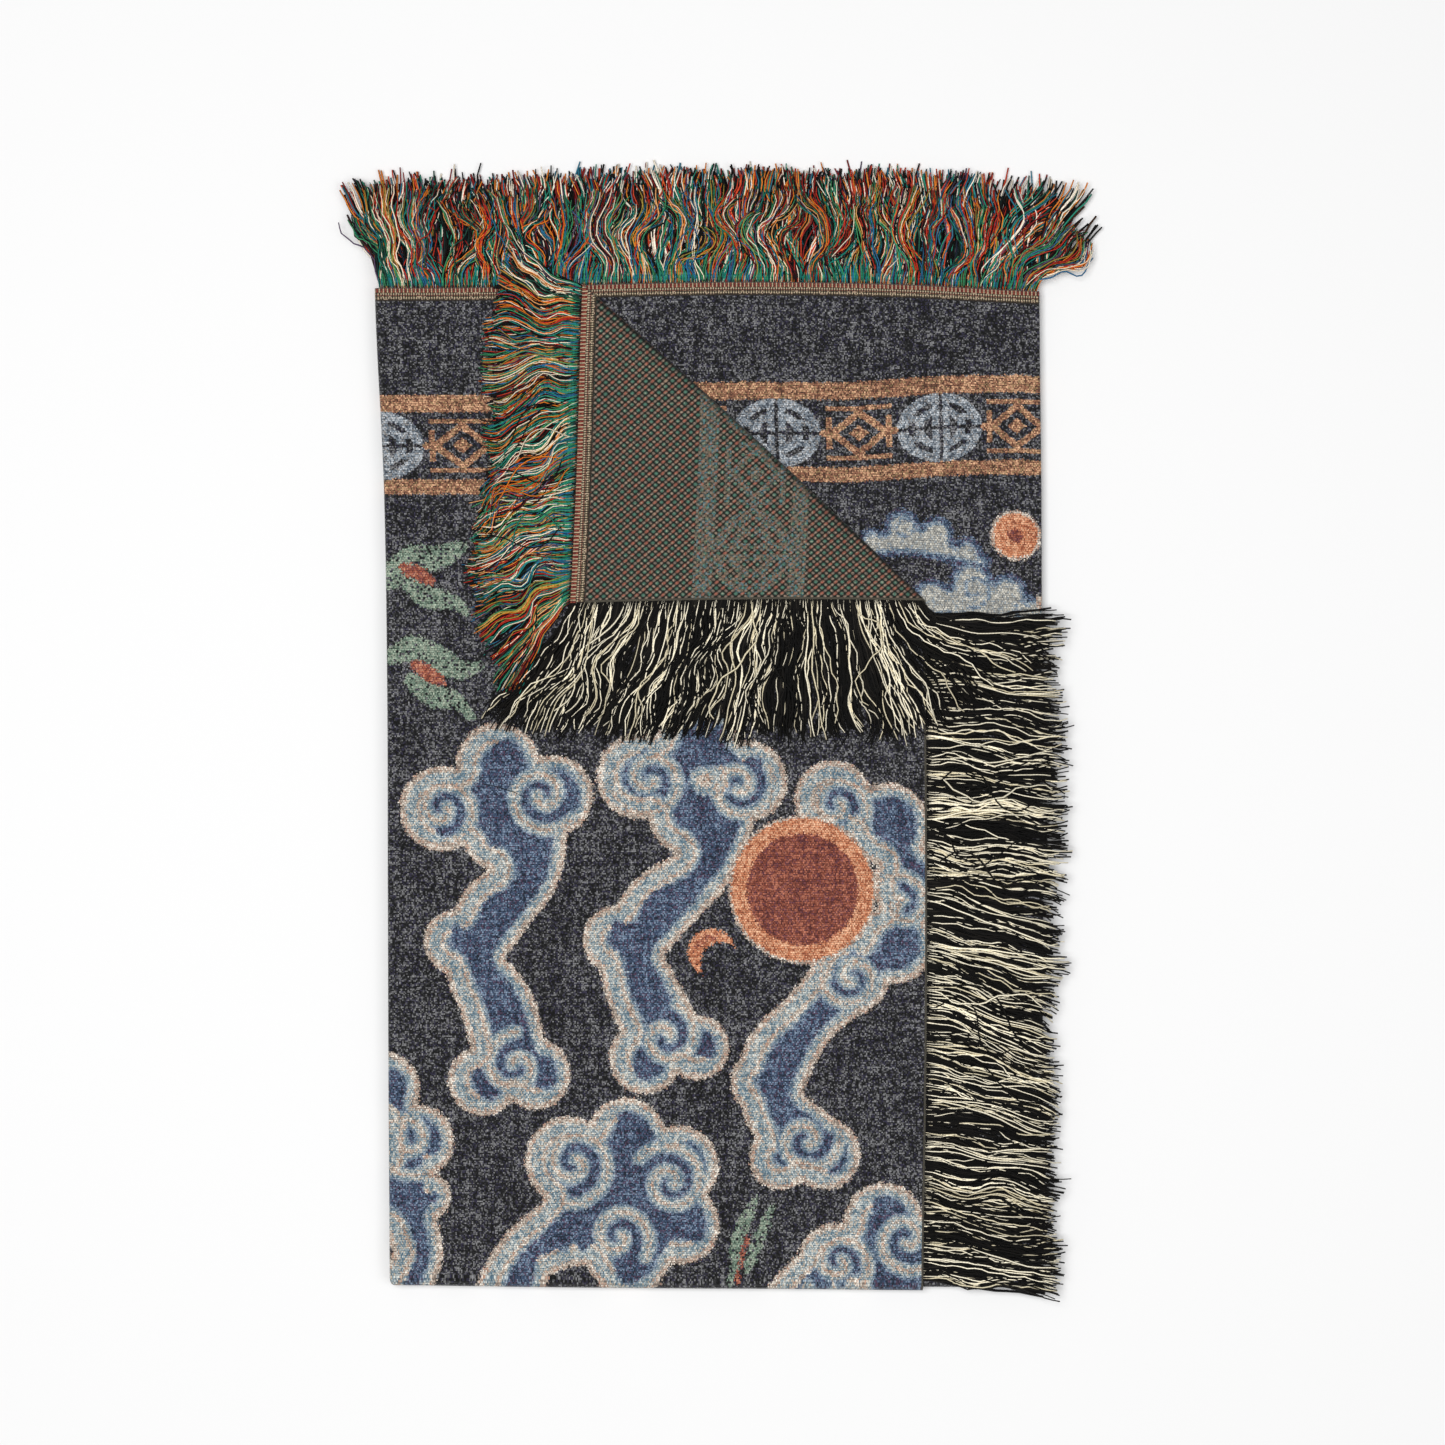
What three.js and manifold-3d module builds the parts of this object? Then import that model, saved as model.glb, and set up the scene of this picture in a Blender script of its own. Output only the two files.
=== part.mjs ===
import * as THREE from "three";
import { mergeVertices } from "three/addons/utils/BufferGeometryUtils.js";
import Module from "manifold-3d";

const wasm = await Module();
wasm.setup();

// A woven tapestry throw with a yarn fringe on all four edges, folded for display.
// Its two side panels are folded in over the base, the right one first, and the strip that
// this makes is folded in half with its lower half turned under, so six layers lie flat.
// The top right corner of the uppermost layer is turned down and shows the back of the weave.
// Sizes are in millimetres. x runs to the right, y towards the colour fringe, and z up.

// The flat cloth, fringe not counted
const CLOTH_WIDTH = 1270;
const CLOTH_LENGTH = 1524;
const CLOTH_THICKNESS = 2.2;

// The folded throw
const LAYER_GAP = 0.5;
const FOLDED_WIDTH = 500;
const TOP_PANEL_WIDTH = 411; // from the left fold to the free edge of the uppermost panel
const HALF_THICKNESS = CLOTH_THICKNESS / 2;
const LAYER_PITCH = CLOTH_THICKNESS + LAYER_GAP;

// Distance of each layer's middle from the plane between the two halves
const BASE_LEVEL = 1.6;
const RIGHT_PANEL_LEVEL = BASE_LEVEL + LAYER_PITCH;
const TOP_PANEL_LEVEL = BASE_LEVEL + 2 * LAYER_PITCH;
const MIDDLE_HEIGHT = TOP_PANEL_LEVEL + HALF_THICKNESS;
const STACK_HEIGHT = 2 * MIDDLE_HEIGHT;

// The two side folds, seen from the end of the strip
const LEFT_FOLD_RADIUS = LAYER_PITCH;
const RIGHT_FOLD_RADIUS = LAYER_PITCH / 2;
const LEFT_FOLD_X = LEFT_FOLD_RADIUS + HALF_THICKNESS;
const RIGHT_FOLD_X = FOLDED_WIDTH - RIGHT_FOLD_RADIUS - HALF_THICKNESS;

// Places across the flat cloth, measured from the free edge of the uppermost panel
const LEFT_FOLD_START = TOP_PANEL_WIDTH - LEFT_FOLD_X;
const LEFT_FOLD_END = LEFT_FOLD_START + Math.PI * LEFT_FOLD_RADIUS;
const RIGHT_FOLD_START = LEFT_FOLD_END + RIGHT_FOLD_X - LEFT_FOLD_X;
const RIGHT_FOLD_END = RIGHT_FOLD_START + Math.PI * RIGHT_FOLD_RADIUS;
const RIGHT_PANEL_EDGE_X = RIGHT_FOLD_X - (CLOTH_WIDTH - RIGHT_FOLD_END);

// Places along the flat cloth, measured from the edge at the top of the upper half
const HALF_FOLD_ARC = Math.PI * RIGHT_PANEL_LEVEL;
const HALF_FOLD_START = (CLOTH_LENGTH - HALF_FOLD_ARC) / 2;
const HALF_FOLD_END = HALF_FOLD_START + HALF_FOLD_ARC;
const HALF_FOLD_Y = MIDDLE_HEIGHT;
const FOLDED_LENGTH = HALF_FOLD_Y + HALF_FOLD_START;

// The turned-down corner: where its crease meets the top edge and the free side edge
const CREASE_TOP_X = 153;
const CREASE_SIDE_Y = 520;
const CREASE_RADIUS = 1.6;
const CREASE_SLIP = -0.155; // how far the corner slides along the crease for each mm beyond it
const creaseRun = new THREE.Vector2(TOP_PANEL_WIDTH - CREASE_TOP_X, CREASE_SIDE_Y - FOLDED_LENGTH);
const CREASE_LENGTH = creaseRun.length();
const creaseAlong = creaseRun.clone().normalize();
const creaseOut = new THREE.Vector2(-creaseAlong.y, creaseAlong.x);
const CREASE_TOP_U = TOP_PANEL_WIDTH - CREASE_TOP_X;
const CREASE_SIDE_V = FOLDED_LENGTH - CREASE_SIDE_Y;
const CORNER_DEPTH = CREASE_TOP_U * creaseOut.x; // from the crease to the cloth's corner

// The uppermost panel sinks a little where only the right panel's fringe lies under it
const HOLLOW = { from: 14, to: 150, depth: 0.7 };

// How far each outline stands from a true rectangle, at even steps along it
const OUTLINE_SHIFTS = {
  left: shiftCurve([3.5, 2.5, 2, 1.5, -1, -8]), // x, from the bottom fold to the top edge
  right: shiftCurve([-2, 1, 2, 1, 0.5, -1]), // x, from the bottom fold to the top edge
  bottom: shiftCurve([3, 1.5, 0.5, 0, -1, -1.5]), // y, from the left fold to the right one
  top: shiftCurve([0, -1, -3, 3, 3, -6]), // y, from the left fold to the right one
};

// Soft rises of the whole stack: a share of the height, at a place, with a spread
const RISES = [
  { x: 0, y: 380, spreadX: 30, spreadY: 900, share: 0.15 },
  { x: 260, y: 0, spreadX: 600, spreadY: 30, share: 0.12 },
  { x: 500, y: 380, spreadX: 45, spreadY: 900, share: 0.06 },
  { x: 120, y: 640, spreadX: 90, spreadY: 50, share: 0.07 },
  { x: 330, y: 300, spreadX: 110, spreadY: 80, share: 0.09 },
  { x: 170, y: 160, spreadX: 70, spreadY: 120, share: -0.06 },
  { x: 420, y: 560, spreadX: 60, spreadY: 90, share: 0.06 },
];

// Where the mesh has its lines: closer to the folds, and alike in all the layers
const LINES_X = [14, 30, 56, 110, 170, 230, 290, 350, 411, 455, 478, 490];
const SLANTED_FROM = 4; // the uppermost panel's lines lean with the crease after this many
const LINES_Y = [20, 40, 70, 130, 220, 320, 420];
const LINES_Y_PAST_CREASE = [520, 610, 690]; // for the lower half only

// The fringe: a narrow strip of knotted yarn ends, with locks that hang from it
const STRIP = { gap: 0.3, width: 4, halfThickness: 0.75 };
const LOCK = { sections: 3, halfWidth: 3.3, rootHalfThickness: 0.7, tipHalfThickness: 0.5 };
const TIP_PITCH = 1.5; // between the tips of the fringes that lie on each other
const COLOUR_FRINGE_LENGTH = 92;
const CREAM_FRINGE_LENGTH = 103;

const COLOURS = { cloth: 0x33353d, colourYarn: 0x8a5a3c, creamYarn: 0x8f8a78 };

// A smooth curve through a short list of values
function shiftCurve(values) {
  return new THREE.SplineCurve(values.map((value, i) => new THREE.Vector2(i, value)));
}

// The value of such a curve for a place from 0 to 1 along it
function along(curve, place) {
  return curve.getPoint(THREE.MathUtils.clamp(place, 0, 1)).y;
}

// A repeatable scatter from -1 to 1
function scatter(i, salt) {
  const value = Math.sin(i * 12.9898 + salt * 78.233) * 43758.5453;
  return 2 * (value - Math.floor(value)) - 1;
}

// How far the uppermost panel sinks at x
function hollowDepth(x) {
  const place = THREE.MathUtils.clamp((x - HOLLOW.from) / (HOLLOW.to - HOLLOW.from), 0, 1);
  return HOLLOW.depth * Math.sin(Math.PI * place) ** 2;
}

// The strip's end view: x, and the level of the layer's middle, for a place across the flat cloth
function acrossStrip(u, sink) {
  if (u < LEFT_FOLD_START) {
    const x = TOP_PANEL_WIDTH - u;
    return { x, level: TOP_PANEL_LEVEL - sink * hollowDepth(x) };
  }
  if (u < LEFT_FOLD_END) {
    const turn = (u - LEFT_FOLD_START) / LEFT_FOLD_RADIUS;
    const centre = (TOP_PANEL_LEVEL + BASE_LEVEL) / 2;
    return {
      x: LEFT_FOLD_X - LEFT_FOLD_RADIUS * Math.sin(turn),
      level: centre + LEFT_FOLD_RADIUS * Math.cos(turn),
    };
  }
  if (u < RIGHT_FOLD_START) return { x: LEFT_FOLD_X + u - LEFT_FOLD_END, level: BASE_LEVEL };
  if (u < RIGHT_FOLD_END) {
    const turn = (u - RIGHT_FOLD_START) / RIGHT_FOLD_RADIUS;
    const centre = (RIGHT_PANEL_LEVEL + BASE_LEVEL) / 2;
    return {
      x: RIGHT_FOLD_X + RIGHT_FOLD_RADIUS * Math.sin(turn),
      level: centre - RIGHT_FOLD_RADIUS * Math.cos(turn),
    };
  }
  return { x: RIGHT_FOLD_X - (u - RIGHT_FOLD_END), level: RIGHT_PANEL_LEVEL };
}

// The middle of the cloth for a place (u, v) on the flat cloth, before it is made uneven
function clothPoint(u, v) {
  const turn = (Math.PI * (v - HALF_FOLD_START)) / HALF_FOLD_ARC;
  const upper = v < HALF_FOLD_START;
  const { x, level } = acrossStrip(u, upper ? 1 : 0);
  if (v > HALF_FOLD_END) {
    return new THREE.Vector3(x, HALF_FOLD_Y + v - HALF_FOLD_END, MIDDLE_HEIGHT - level);
  }
  if (!upper) {
    const y = HALF_FOLD_Y - level * Math.sin(turn);
    return new THREE.Vector3(x, y, MIDDLE_HEIGHT + level * Math.cos(turn));
  }
  const point = new THREE.Vector3(x, FOLDED_LENGTH - v, MIDDLE_HEIGHT + level);
  const fromCrease = new THREE.Vector2(x - CREASE_TOP_X, point.y - FOLDED_LENGTH);
  const beyond = fromCrease.dot(creaseOut);
  if (u < LEFT_FOLD_START && beyond > 0) turnDown(point, beyond);
  return point;
}

// Moves a point of the corner that lies beyond the crease over and down onto its panel
function turnDown(point, beyond) {
  const bend = Math.min(beyond / CREASE_RADIUS, Math.PI);
  const flat = beyond - bend * CREASE_RADIUS;
  const out = CREASE_RADIUS * Math.sin(bend) - flat - beyond;
  const slip = CREASE_SLIP * beyond;
  point.x += out * creaseOut.x + slip * creaseAlong.x;
  point.y += out * creaseOut.y + slip * creaseAlong.y;
  point.z += CREASE_RADIUS * (1 - Math.cos(bend));
}

// The cloth's face direction, and the directions in which u and v grow there
function clothFrame(u, v) {
  const step = 0.01;
  const growU = clothPoint(u + step, v).sub(clothPoint(u - step, v)).normalize();
  const growV = clothPoint(u, v + step).sub(clothPoint(u, v - step)).normalize();
  return { growU, growV, face: new THREE.Vector3().crossVectors(growU, growV).normalize() };
}

// Gives a point of the neat stack its place in the real, uneven one
function uneven(p) {
  const rightward = p.x / FOLDED_WIDTH;
  const upward = p.y / FOLDED_LENGTH;
  const { left, right, bottom, top } = OUTLINE_SHIFTS;
  let share = 0;
  for (const rise of RISES) {
    const dx = (p.x - rise.x) / rise.spreadX;
    const dy = (p.y - rise.y) / rise.spreadY;
    share += rise.share * Math.exp(-dx * dx - dy * dy);
  }
  const acrossShare = THREE.MathUtils.clamp(rightward, 0, 1);
  const upShare = THREE.MathUtils.clamp(upward, 0, 1);
  return new THREE.Vector3(
    p.x + THREE.MathUtils.lerp(along(left, upward), along(right, upward), acrossShare),
    p.y + THREE.MathUtils.lerp(along(bottom, rightward), along(top, rightward), upShare),
    p.z * (1 + share),
  );
}

// Even steps from one value to another, the last one left out
function steps(from, to, count) {
  return Array.from({ length: count }, (_, i) => from + ((to - from) * i) / count);
}

// The flat cloth cut into triangles that follow its folds, as a list of (u, v) and triples
function flatMesh() {
  const places = [];
  const triangles = [];
  const known = new Map();
  const place = (u, v) => {
    const key = u.toFixed(4) + "," + v.toFixed(4);
    if (!known.has(key)) known.set(key, places.push({ u, v }) - 1);
    return known.get(key);
  };
  const quad = (a, b, c, d) => triangles.push([a, b, c], [a, c, d]);

  const CREASE_ROWS = 7;
  const rows = [
    ...steps(0, CREASE_SIDE_V, CREASE_ROWS),
    CREASE_SIDE_V,
    ...LINES_Y.toReversed().map((y) => FOLDED_LENGTH - y),
    ...steps(HALF_FOLD_START, HALF_FOLD_END, 6),
    HALF_FOLD_END,
    ...[...LINES_Y, ...LINES_Y_PAST_CREASE].map((y) => HALF_FOLD_END + y - HALF_FOLD_Y),
    CLOTH_LENGTH,
  ];
  // Each row starts at the crease, or at the free edge where the crease has ended
  const rowStart = (v) => Math.max(0, CREASE_TOP_U * (1 - v / CREASE_SIDE_V));
  const straight = LINES_X.slice(0, SLANTED_FROM).map((x) => TOP_PANEL_WIDTH - x);
  const columns = (v) => [
    ...steps(rowStart(v), straight.at(-1), 5),
    ...straight.toReversed(),
    ...steps(LEFT_FOLD_START, LEFT_FOLD_END, 5),
    LEFT_FOLD_END,
    ...LINES_X.map((x) => LEFT_FOLD_END + x - LEFT_FOLD_X),
    ...steps(RIGHT_FOLD_START, RIGHT_FOLD_END, 4),
    RIGHT_FOLD_END,
    ...LINES_X.slice(SLANTED_FROM).toReversed().map((x) => RIGHT_FOLD_END + RIGHT_FOLD_X - x),
    CLOTH_WIDTH,
  ];
  const grid = rows.map((v) => columns(v).map((u) => place(u, v)));
  for (let j = 0; j + 1 < grid.length; j += 1) {
    for (let i = 0; i + 1 < grid[j].length; i += 1) {
      quad(grid[j][i], grid[j][i + 1], grid[j + 1][i + 1], grid[j + 1][i]);
    }
  }

  // The turned corner, in rows that lie along the crease and shrink to the cloth's corner
  const depths = [
    ...steps(0, Math.PI * CREASE_RADIUS, 5),
    ...steps(Math.PI * CREASE_RADIUS, CORNER_DEPTH, 4),
  ];
  const corner = place(0, 0);
  const flap = depths.map((depth) => {
    const left = 1 - depth / CORNER_DEPTH;
    return steps(0, 1, CREASE_ROWS)
      .concat(1)
      .map((share) => place(CREASE_TOP_U * left * (1 - share), CREASE_SIDE_V * left * share));
  });
  for (let j = 0; j < flap.length; j += 1) {
    for (let i = 0; i < CREASE_ROWS; i += 1) {
      if (j + 1 === flap.length) triangles.push([flap[j][i], flap[j][i + 1], corner]);
      else quad(flap[j][i], flap[j][i + 1], flap[j + 1][i + 1], flap[j + 1][i]);
    }
  }
  return { places, triangles };
}

const flatCloth = flatMesh();

// A BufferGeometry from points and triples
function geometryOf(points, triangles) {
  const geometry = new THREE.BufferGeometry();
  geometry.setAttribute(
    "position",
    new THREE.Float32BufferAttribute(points.flatMap((p) => p.toArray()), 3),
  );
  geometry.setIndex(triangles.flat());
  geometry.computeVertexNormals();
  return geometry;
}

// The whole cloth as one closed solid: its face, its back and the rim between them
function clothGeometry() {
  const { places, triangles } = flatCloth;
  const side = (sign) =>
    places.map(({ u, v }) => {
      const offset = clothFrame(u, v).face.multiplyScalar(sign * HALF_THICKNESS);
      return uneven(clothPoint(u, v).add(offset));
    });
  const backOf = (i) => i + places.length;
  const edges = new Map();
  for (const [a, b, c] of triangles) {
    for (const [from, to] of [[a, b], [b, c], [c, a]]) {
      if (!edges.delete(to + ">" + from)) edges.set(from + ">" + to, [from, to]);
    }
  }
  const faces = triangles.flatMap(([a, b, c]) => [[a, b, c], [backOf(a), backOf(c), backOf(b)]]);
  for (const [from, to] of edges.values()) {
    faces.push([to, from, backOf(from)], [to, backOf(from), backOf(to)]);
  }
  return geometryOf([...side(1), ...side(-1)], faces);
}

// A solid through a row of like outlines, closed at both ends
function loft(outlines) {
  const sides = outlines[0].length;
  const triangles = [];
  for (let j = 0; j + 1 < outlines.length; j += 1) {
    for (let i = 0; i < sides; i += 1) {
      const a = j * sides + i;
      const b = j * sides + ((i + 1) % sides);
      triangles.push([a, b, b + sides], [a, b + sides, a + sides]);
    }
  }
  const last = (outlines.length - 1) * sides;
  for (let i = 1; i + 1 < sides; i += 1) {
    triangles.push([0, i + 1, i], [last, last + i, last + i + 1]);
  }
  return geometryOf(outlines.flat(), triangles);
}

function solidOf(geometry) {
  const bare = geometry.clone().deleteAttribute("normal");
  const merged = mergeVertices(bare, 1e-4);
  const solid = new wasm.Manifold(
    new wasm.Mesh({
      numProp: 3,
      vertProperties: merged.attributes.position.array,
      triVerts: new Uint32Array(merged.index.array),
    }),
  );
  return solid;
}

function geometryFrom(solid, move) {
  const { vertProperties, triVerts, numVert } = solid.getMesh();
  const points = Array.from({ length: numVert }, (_, i) =>
    move(new THREE.Vector3().fromArray(vertProperties, i * 3)),
  );
  const triangles = Array.from({ length: triVerts.length / 3 }, (_, i) => [
    ...triVerts.subarray(i * 3, i * 3 + 3),
  ]);
  return geometryOf(points, triangles);
}

// One fringe: the strip along a stretch of an edge, and the locks that leave it.
// The edge gives the root and the directions out of and along the cloth at a share of itself.
function fringeGeometry({ edge, locks, length, tip, lean, fan, onFloor, salt }) {
  const up = new THREE.Vector3(0, 0, 1);
  const stripOutline = (share) => {
    const { root, out } = edge.at(share);
    if (onFloor) root.z = STRIP.halfThickness;
    return [
      [STRIP.gap, -1],
      [STRIP.gap + STRIP.width, -1],
      [STRIP.gap + STRIP.width, 1],
      [STRIP.gap, 1],
    ].map(([reach, side]) =>
      root.clone().addScaledVector(out, reach).addScaledVector(up, side * STRIP.halfThickness),
    );
  };
  let solid = solidOf(loft(edge.lines.map(stripOutline)));

  for (let i = 0; i < locks; i += 1) {
    const share = (i + 0.5) / locks;
    const { root, out, run } = edge.at(share);
    const sideways = lean + fan.start * (1 - share) ** 6 + fan.end * share ** 6;
    const reach = (length * (1 + 0.07 * scatter(i, salt)) - STRIP.gap) / Math.hypot(1, sideways);
    const stray = 0.012 * scatter(i, salt + 1);
    const outlines = steps(0, 1, LOCK.sections).concat(1).map((part) => {
      const far = STRIP.gap + STRIP.width / 2 + part * reach;
      const wave = 1.1 * Math.sin(5 * part + 2 * scatter(i, salt + 2)) * part;
      const drift = (sideways + stray) * part * reach * (0.6 + 0.4 * part) + wave;
      const middle = root.clone().addScaledVector(out, far).addScaledVector(run, drift);
      const halfWidth = LOCK.halfWidth * (1 - 0.35 * part * part);
      const halfThickness = THREE.MathUtils.lerp(
        LOCK.rootHalfThickness,
        LOCK.tipHalfThickness,
        part,
      );
      const droop = THREE.MathUtils.smoothstep(part, 0, 1);
      middle.z = onFloor ? halfThickness : THREE.MathUtils.lerp(root.z, tip, droop);
      return [[-1, -1], [0, 1], [1, -1]].map(([acrossLock, high]) =>
        middle
          .clone()
          .addScaledVector(run, acrossLock * halfWidth)
          .addScaledVector(up, high * halfThickness),
      );
    });
    solid = solid.add(solidOf(loft(outlines)));
  }
  return geometryFrom(solid, uneven);
}

// A stretch of one of the cloth's four edges, from one place along it to another.
// lines are all the places along the edge where the cloth's mesh has a line.
function stretch({ from, to, lines, point, directions }) {
  const at = (share) => {
    const place = THREE.MathUtils.lerp(from, to, share);
    const { out, run } = directions(place);
    run.multiplyScalar(Math.sign(to - from));
    return { root: point(place), out: out.setZ(0).normalize(), run: run.setZ(0).normalize() };
  };
  const inner = lines
    .map((place) => (place - from) / (to - from))
    .filter((share) => share > 0.004 && share < 0.996)
    .sort((a, b) => a - b);
  return { at, lines: [0, ...inner, 1] };
}

// A stretch of the colour-fringed edge v = 0 or v = CLOTH_LENGTH, from one u to another
function colourEdge(from, to, v) {
  return stretch({
    from,
    to,
    lines: flatCloth.places.filter((place) => place.v === v).map(({ u }) => u),
    point: (u) => clothPoint(u, v),
    directions: (u) => {
      const { growU, growV } = clothFrame(u, v);
      return { out: growV.multiplyScalar(v > 0 ? 1 : -1), run: growU };
    },
  });
}

// A stretch of the cream-fringed edge u = 0 or u = CLOTH_WIDTH, from one v to another
function creamEdge(from, to, u) {
  return stretch({
    from,
    to,
    lines: flatCloth.places.filter((place) => place.u === u).map(({ v }) => v),
    point: (v) => clothPoint(u, v),
    directions: (v) => {
      const { growU, growV } = clothFrame(u, v);
      return { out: growU.multiplyScalar(u > 0 ? 1 : -1), run: growV };
    },
  });
}

// Heights of the tips of the six fringes that lie on each other, counted from the floor
const tipHeight = (rank) => LOCK.tipHalfThickness + rank * TIP_PITCH;
const layerHeight = (level) => MIDDLE_HEIGHT + level;
const FLAP_HEIGHT = layerHeight(TOP_PANEL_LEVEL) + 2 * CREASE_RADIUS;
const CLEAR = 2 * CREASE_RADIUS + 2; // room that a strip leaves at a crease or fold

const noFan = { start: 0, end: 0 };
const FRINGES = {
  // Colour fringe of the upper half, from the uppermost panel to the right one
  colour_fringe_upper_left: {
    edge: colourEdge(LEFT_FOLD_START - 1, CREASE_TOP_U + CLEAR + 2, 0),
    locks: 12, tip: tipHeight(5), lean: 0, fan: { start: -0.36, end: 0 },
  },
  colour_fringe_upper_base: {
    edge: colourEdge(LEFT_FOLD_END + 1, RIGHT_FOLD_START - 1, 0),
    locks: 30, tip: tipHeight(3), lean: 0, fan: { start: -0.3, end: 0.55 },
  },
  colour_fringe_upper_right: {
    edge: colourEdge(CLOTH_WIDTH - 1, RIGHT_FOLD_END + 1, 0),
    locks: 27, tip: tipHeight(4), lean: 0.02, fan: { start: 0, end: 0.6 },
  },
  // Colour fringe of the lower half, which is turned under
  colour_fringe_lower_left: {
    edge: colourEdge(LEFT_FOLD_START - 1, 1, CLOTH_LENGTH),
    locks: 22, onFloor: true, lean: 0, fan: noFan,
  },
  colour_fringe_lower_base: {
    edge: colourEdge(LEFT_FOLD_END + 1, RIGHT_FOLD_START - 1, CLOTH_LENGTH),
    locks: 26, tip: tipHeight(2), lean: 0, fan: { start: -0.15, end: 0.3 },
  },
  colour_fringe_lower_right: {
    edge: colourEdge(CLOTH_WIDTH - 1, RIGHT_FOLD_END + 1, CLOTH_LENGTH),
    locks: 18, tip: tipHeight(1), lean: 0, fan: { start: 0, end: 0.25 },
  },
  // The turned corner carries a stretch of each fringe
  colour_fringe_corner: {
    edge: colourEdge(6, CREASE_TOP_U - CLEAR - 6, 0),
    locks: 20, tip: FLAP_HEIGHT - 0.8, lean: -0.12, fan: { start: -0.6, end: 0.3 },
    length: 82,
  },
  cream_fringe_corner: {
    edge: creamEdge(CREASE_SIDE_V - CLEAR - 6, 6, 0),
    locks: 20, tip: FLAP_HEIGHT - 0.8, lean: 0.1, fan: { start: -0.8, end: 0.65 },
  },
  // Cream fringe of the free side edge
  cream_fringe_upper_side: {
    edge: creamEdge(CREASE_SIDE_V + CLEAR, HALF_FOLD_START - 1, 0),
    locks: 46, tip: layerHeight(TOP_PANEL_LEVEL) - 0.6, lean: 0.04, fan: noFan,
  },
  cream_fringe_lower_side: {
    edge: creamEdge(CLOTH_LENGTH - 2, HALF_FOLD_END + 1, 0),
    locks: 34, onFloor: true, lean: 0, fan: noFan,
    length: 80,
  },
  // Cream fringe of the right panel's edge, which is folded away inside
  cream_fringe_upper_inside: {
    edge: creamEdge(HALF_FOLD_START - 1, 2, CLOTH_WIDTH),
    locks: 16, tip: layerHeight(RIGHT_PANEL_LEVEL) - 0.7, lean: 0, fan: noFan,
  },
  cream_fringe_lower_inside: {
    edge: creamEdge(HALF_FOLD_END + 1, CLOTH_LENGTH - 2, CLOTH_WIDTH),
    locks: 14, tip: layerHeight(-RIGHT_PANEL_LEVEL) - 0.4, lean: 0, fan: noFan,
  },
};

function fabric(colour, roughness) {
  return new THREE.MeshStandardMaterial({ color: colour, roughness, metalness: 0 });
}

function buildThrow() {
  const throwBlanket = new THREE.Group();
  const cloth = new THREE.Mesh(clothGeometry(), fabric(COLOURS.cloth, 0.95));
  cloth.name = "woven_cloth";
  throwBlanket.add(cloth);
  Object.entries(FRINGES).forEach(([name, fringe], i) => {
    const colourful = name.startsWith("colour");
    const length = colourful ? COLOUR_FRINGE_LENGTH : CREAM_FRINGE_LENGTH;
    const yarn = fabric(colourful ? COLOURS.colourYarn : COLOURS.creamYarn, 0.9);
    const mesh = new THREE.Mesh(fringeGeometry({ length, ...fringe, salt: 10 * i }), yarn);
    mesh.name = name;
    throwBlanket.add(mesh);
  });
  return throwBlanket;
}

// The origin is under the middle of the folded throw, fringe counted
const folded = buildThrow();
const middle = new THREE.Box3().setFromObject(folded, true).getCenter(new THREE.Vector3());
folded.position.set(-middle.x, -middle.y, 0);

export default folded;
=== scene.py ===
import math
from functools import reduce
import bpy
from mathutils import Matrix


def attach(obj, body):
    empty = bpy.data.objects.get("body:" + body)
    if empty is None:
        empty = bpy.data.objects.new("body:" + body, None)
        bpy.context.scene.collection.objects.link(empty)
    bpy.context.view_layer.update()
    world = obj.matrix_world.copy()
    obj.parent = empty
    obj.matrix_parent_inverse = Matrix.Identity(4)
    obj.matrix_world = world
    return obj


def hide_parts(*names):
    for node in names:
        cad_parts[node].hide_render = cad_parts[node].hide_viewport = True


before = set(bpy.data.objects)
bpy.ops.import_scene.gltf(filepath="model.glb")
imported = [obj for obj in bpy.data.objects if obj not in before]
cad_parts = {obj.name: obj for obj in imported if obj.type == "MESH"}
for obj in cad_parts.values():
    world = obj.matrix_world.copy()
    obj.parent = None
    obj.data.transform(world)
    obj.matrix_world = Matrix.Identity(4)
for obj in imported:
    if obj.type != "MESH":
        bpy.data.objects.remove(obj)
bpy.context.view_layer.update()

from types import SimpleNamespace

import bpy
import numpy as np
from mathutils import kdtree

# A tapestry throw with a yarn fringe on all four edges, folded flat for display.
# Sizes of the cloth and its folds are in millimetres. They have the names and values of the
# part's source, but for the top's outline and the way the turned corner slips and gives.
# Meshes are scaled to metres when they are made.

MM = 0.001
TAU = 2 * math.pi

# ---- The flat cloth and its folds

CLOTH_WIDTH = 1270.0
CLOTH_LENGTH = 1524.0
CLOTH_THICKNESS = 2.2
LAYER_GAP = 0.5
FOLDED_WIDTH = 500.0
TOP_PANEL_WIDTH = 411.0
HALF_THICKNESS = CLOTH_THICKNESS / 2
LAYER_PITCH = CLOTH_THICKNESS + LAYER_GAP

BASE_LEVEL = 1.6
RIGHT_PANEL_LEVEL = BASE_LEVEL + LAYER_PITCH
TOP_PANEL_LEVEL = BASE_LEVEL + 2 * LAYER_PITCH
MIDDLE_HEIGHT = TOP_PANEL_LEVEL + HALF_THICKNESS

LEFT_FOLD_RADIUS = LAYER_PITCH
RIGHT_FOLD_RADIUS = LAYER_PITCH / 2
LEFT_FOLD_X = LEFT_FOLD_RADIUS + HALF_THICKNESS
RIGHT_FOLD_X = FOLDED_WIDTH - RIGHT_FOLD_RADIUS - HALF_THICKNESS

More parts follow.
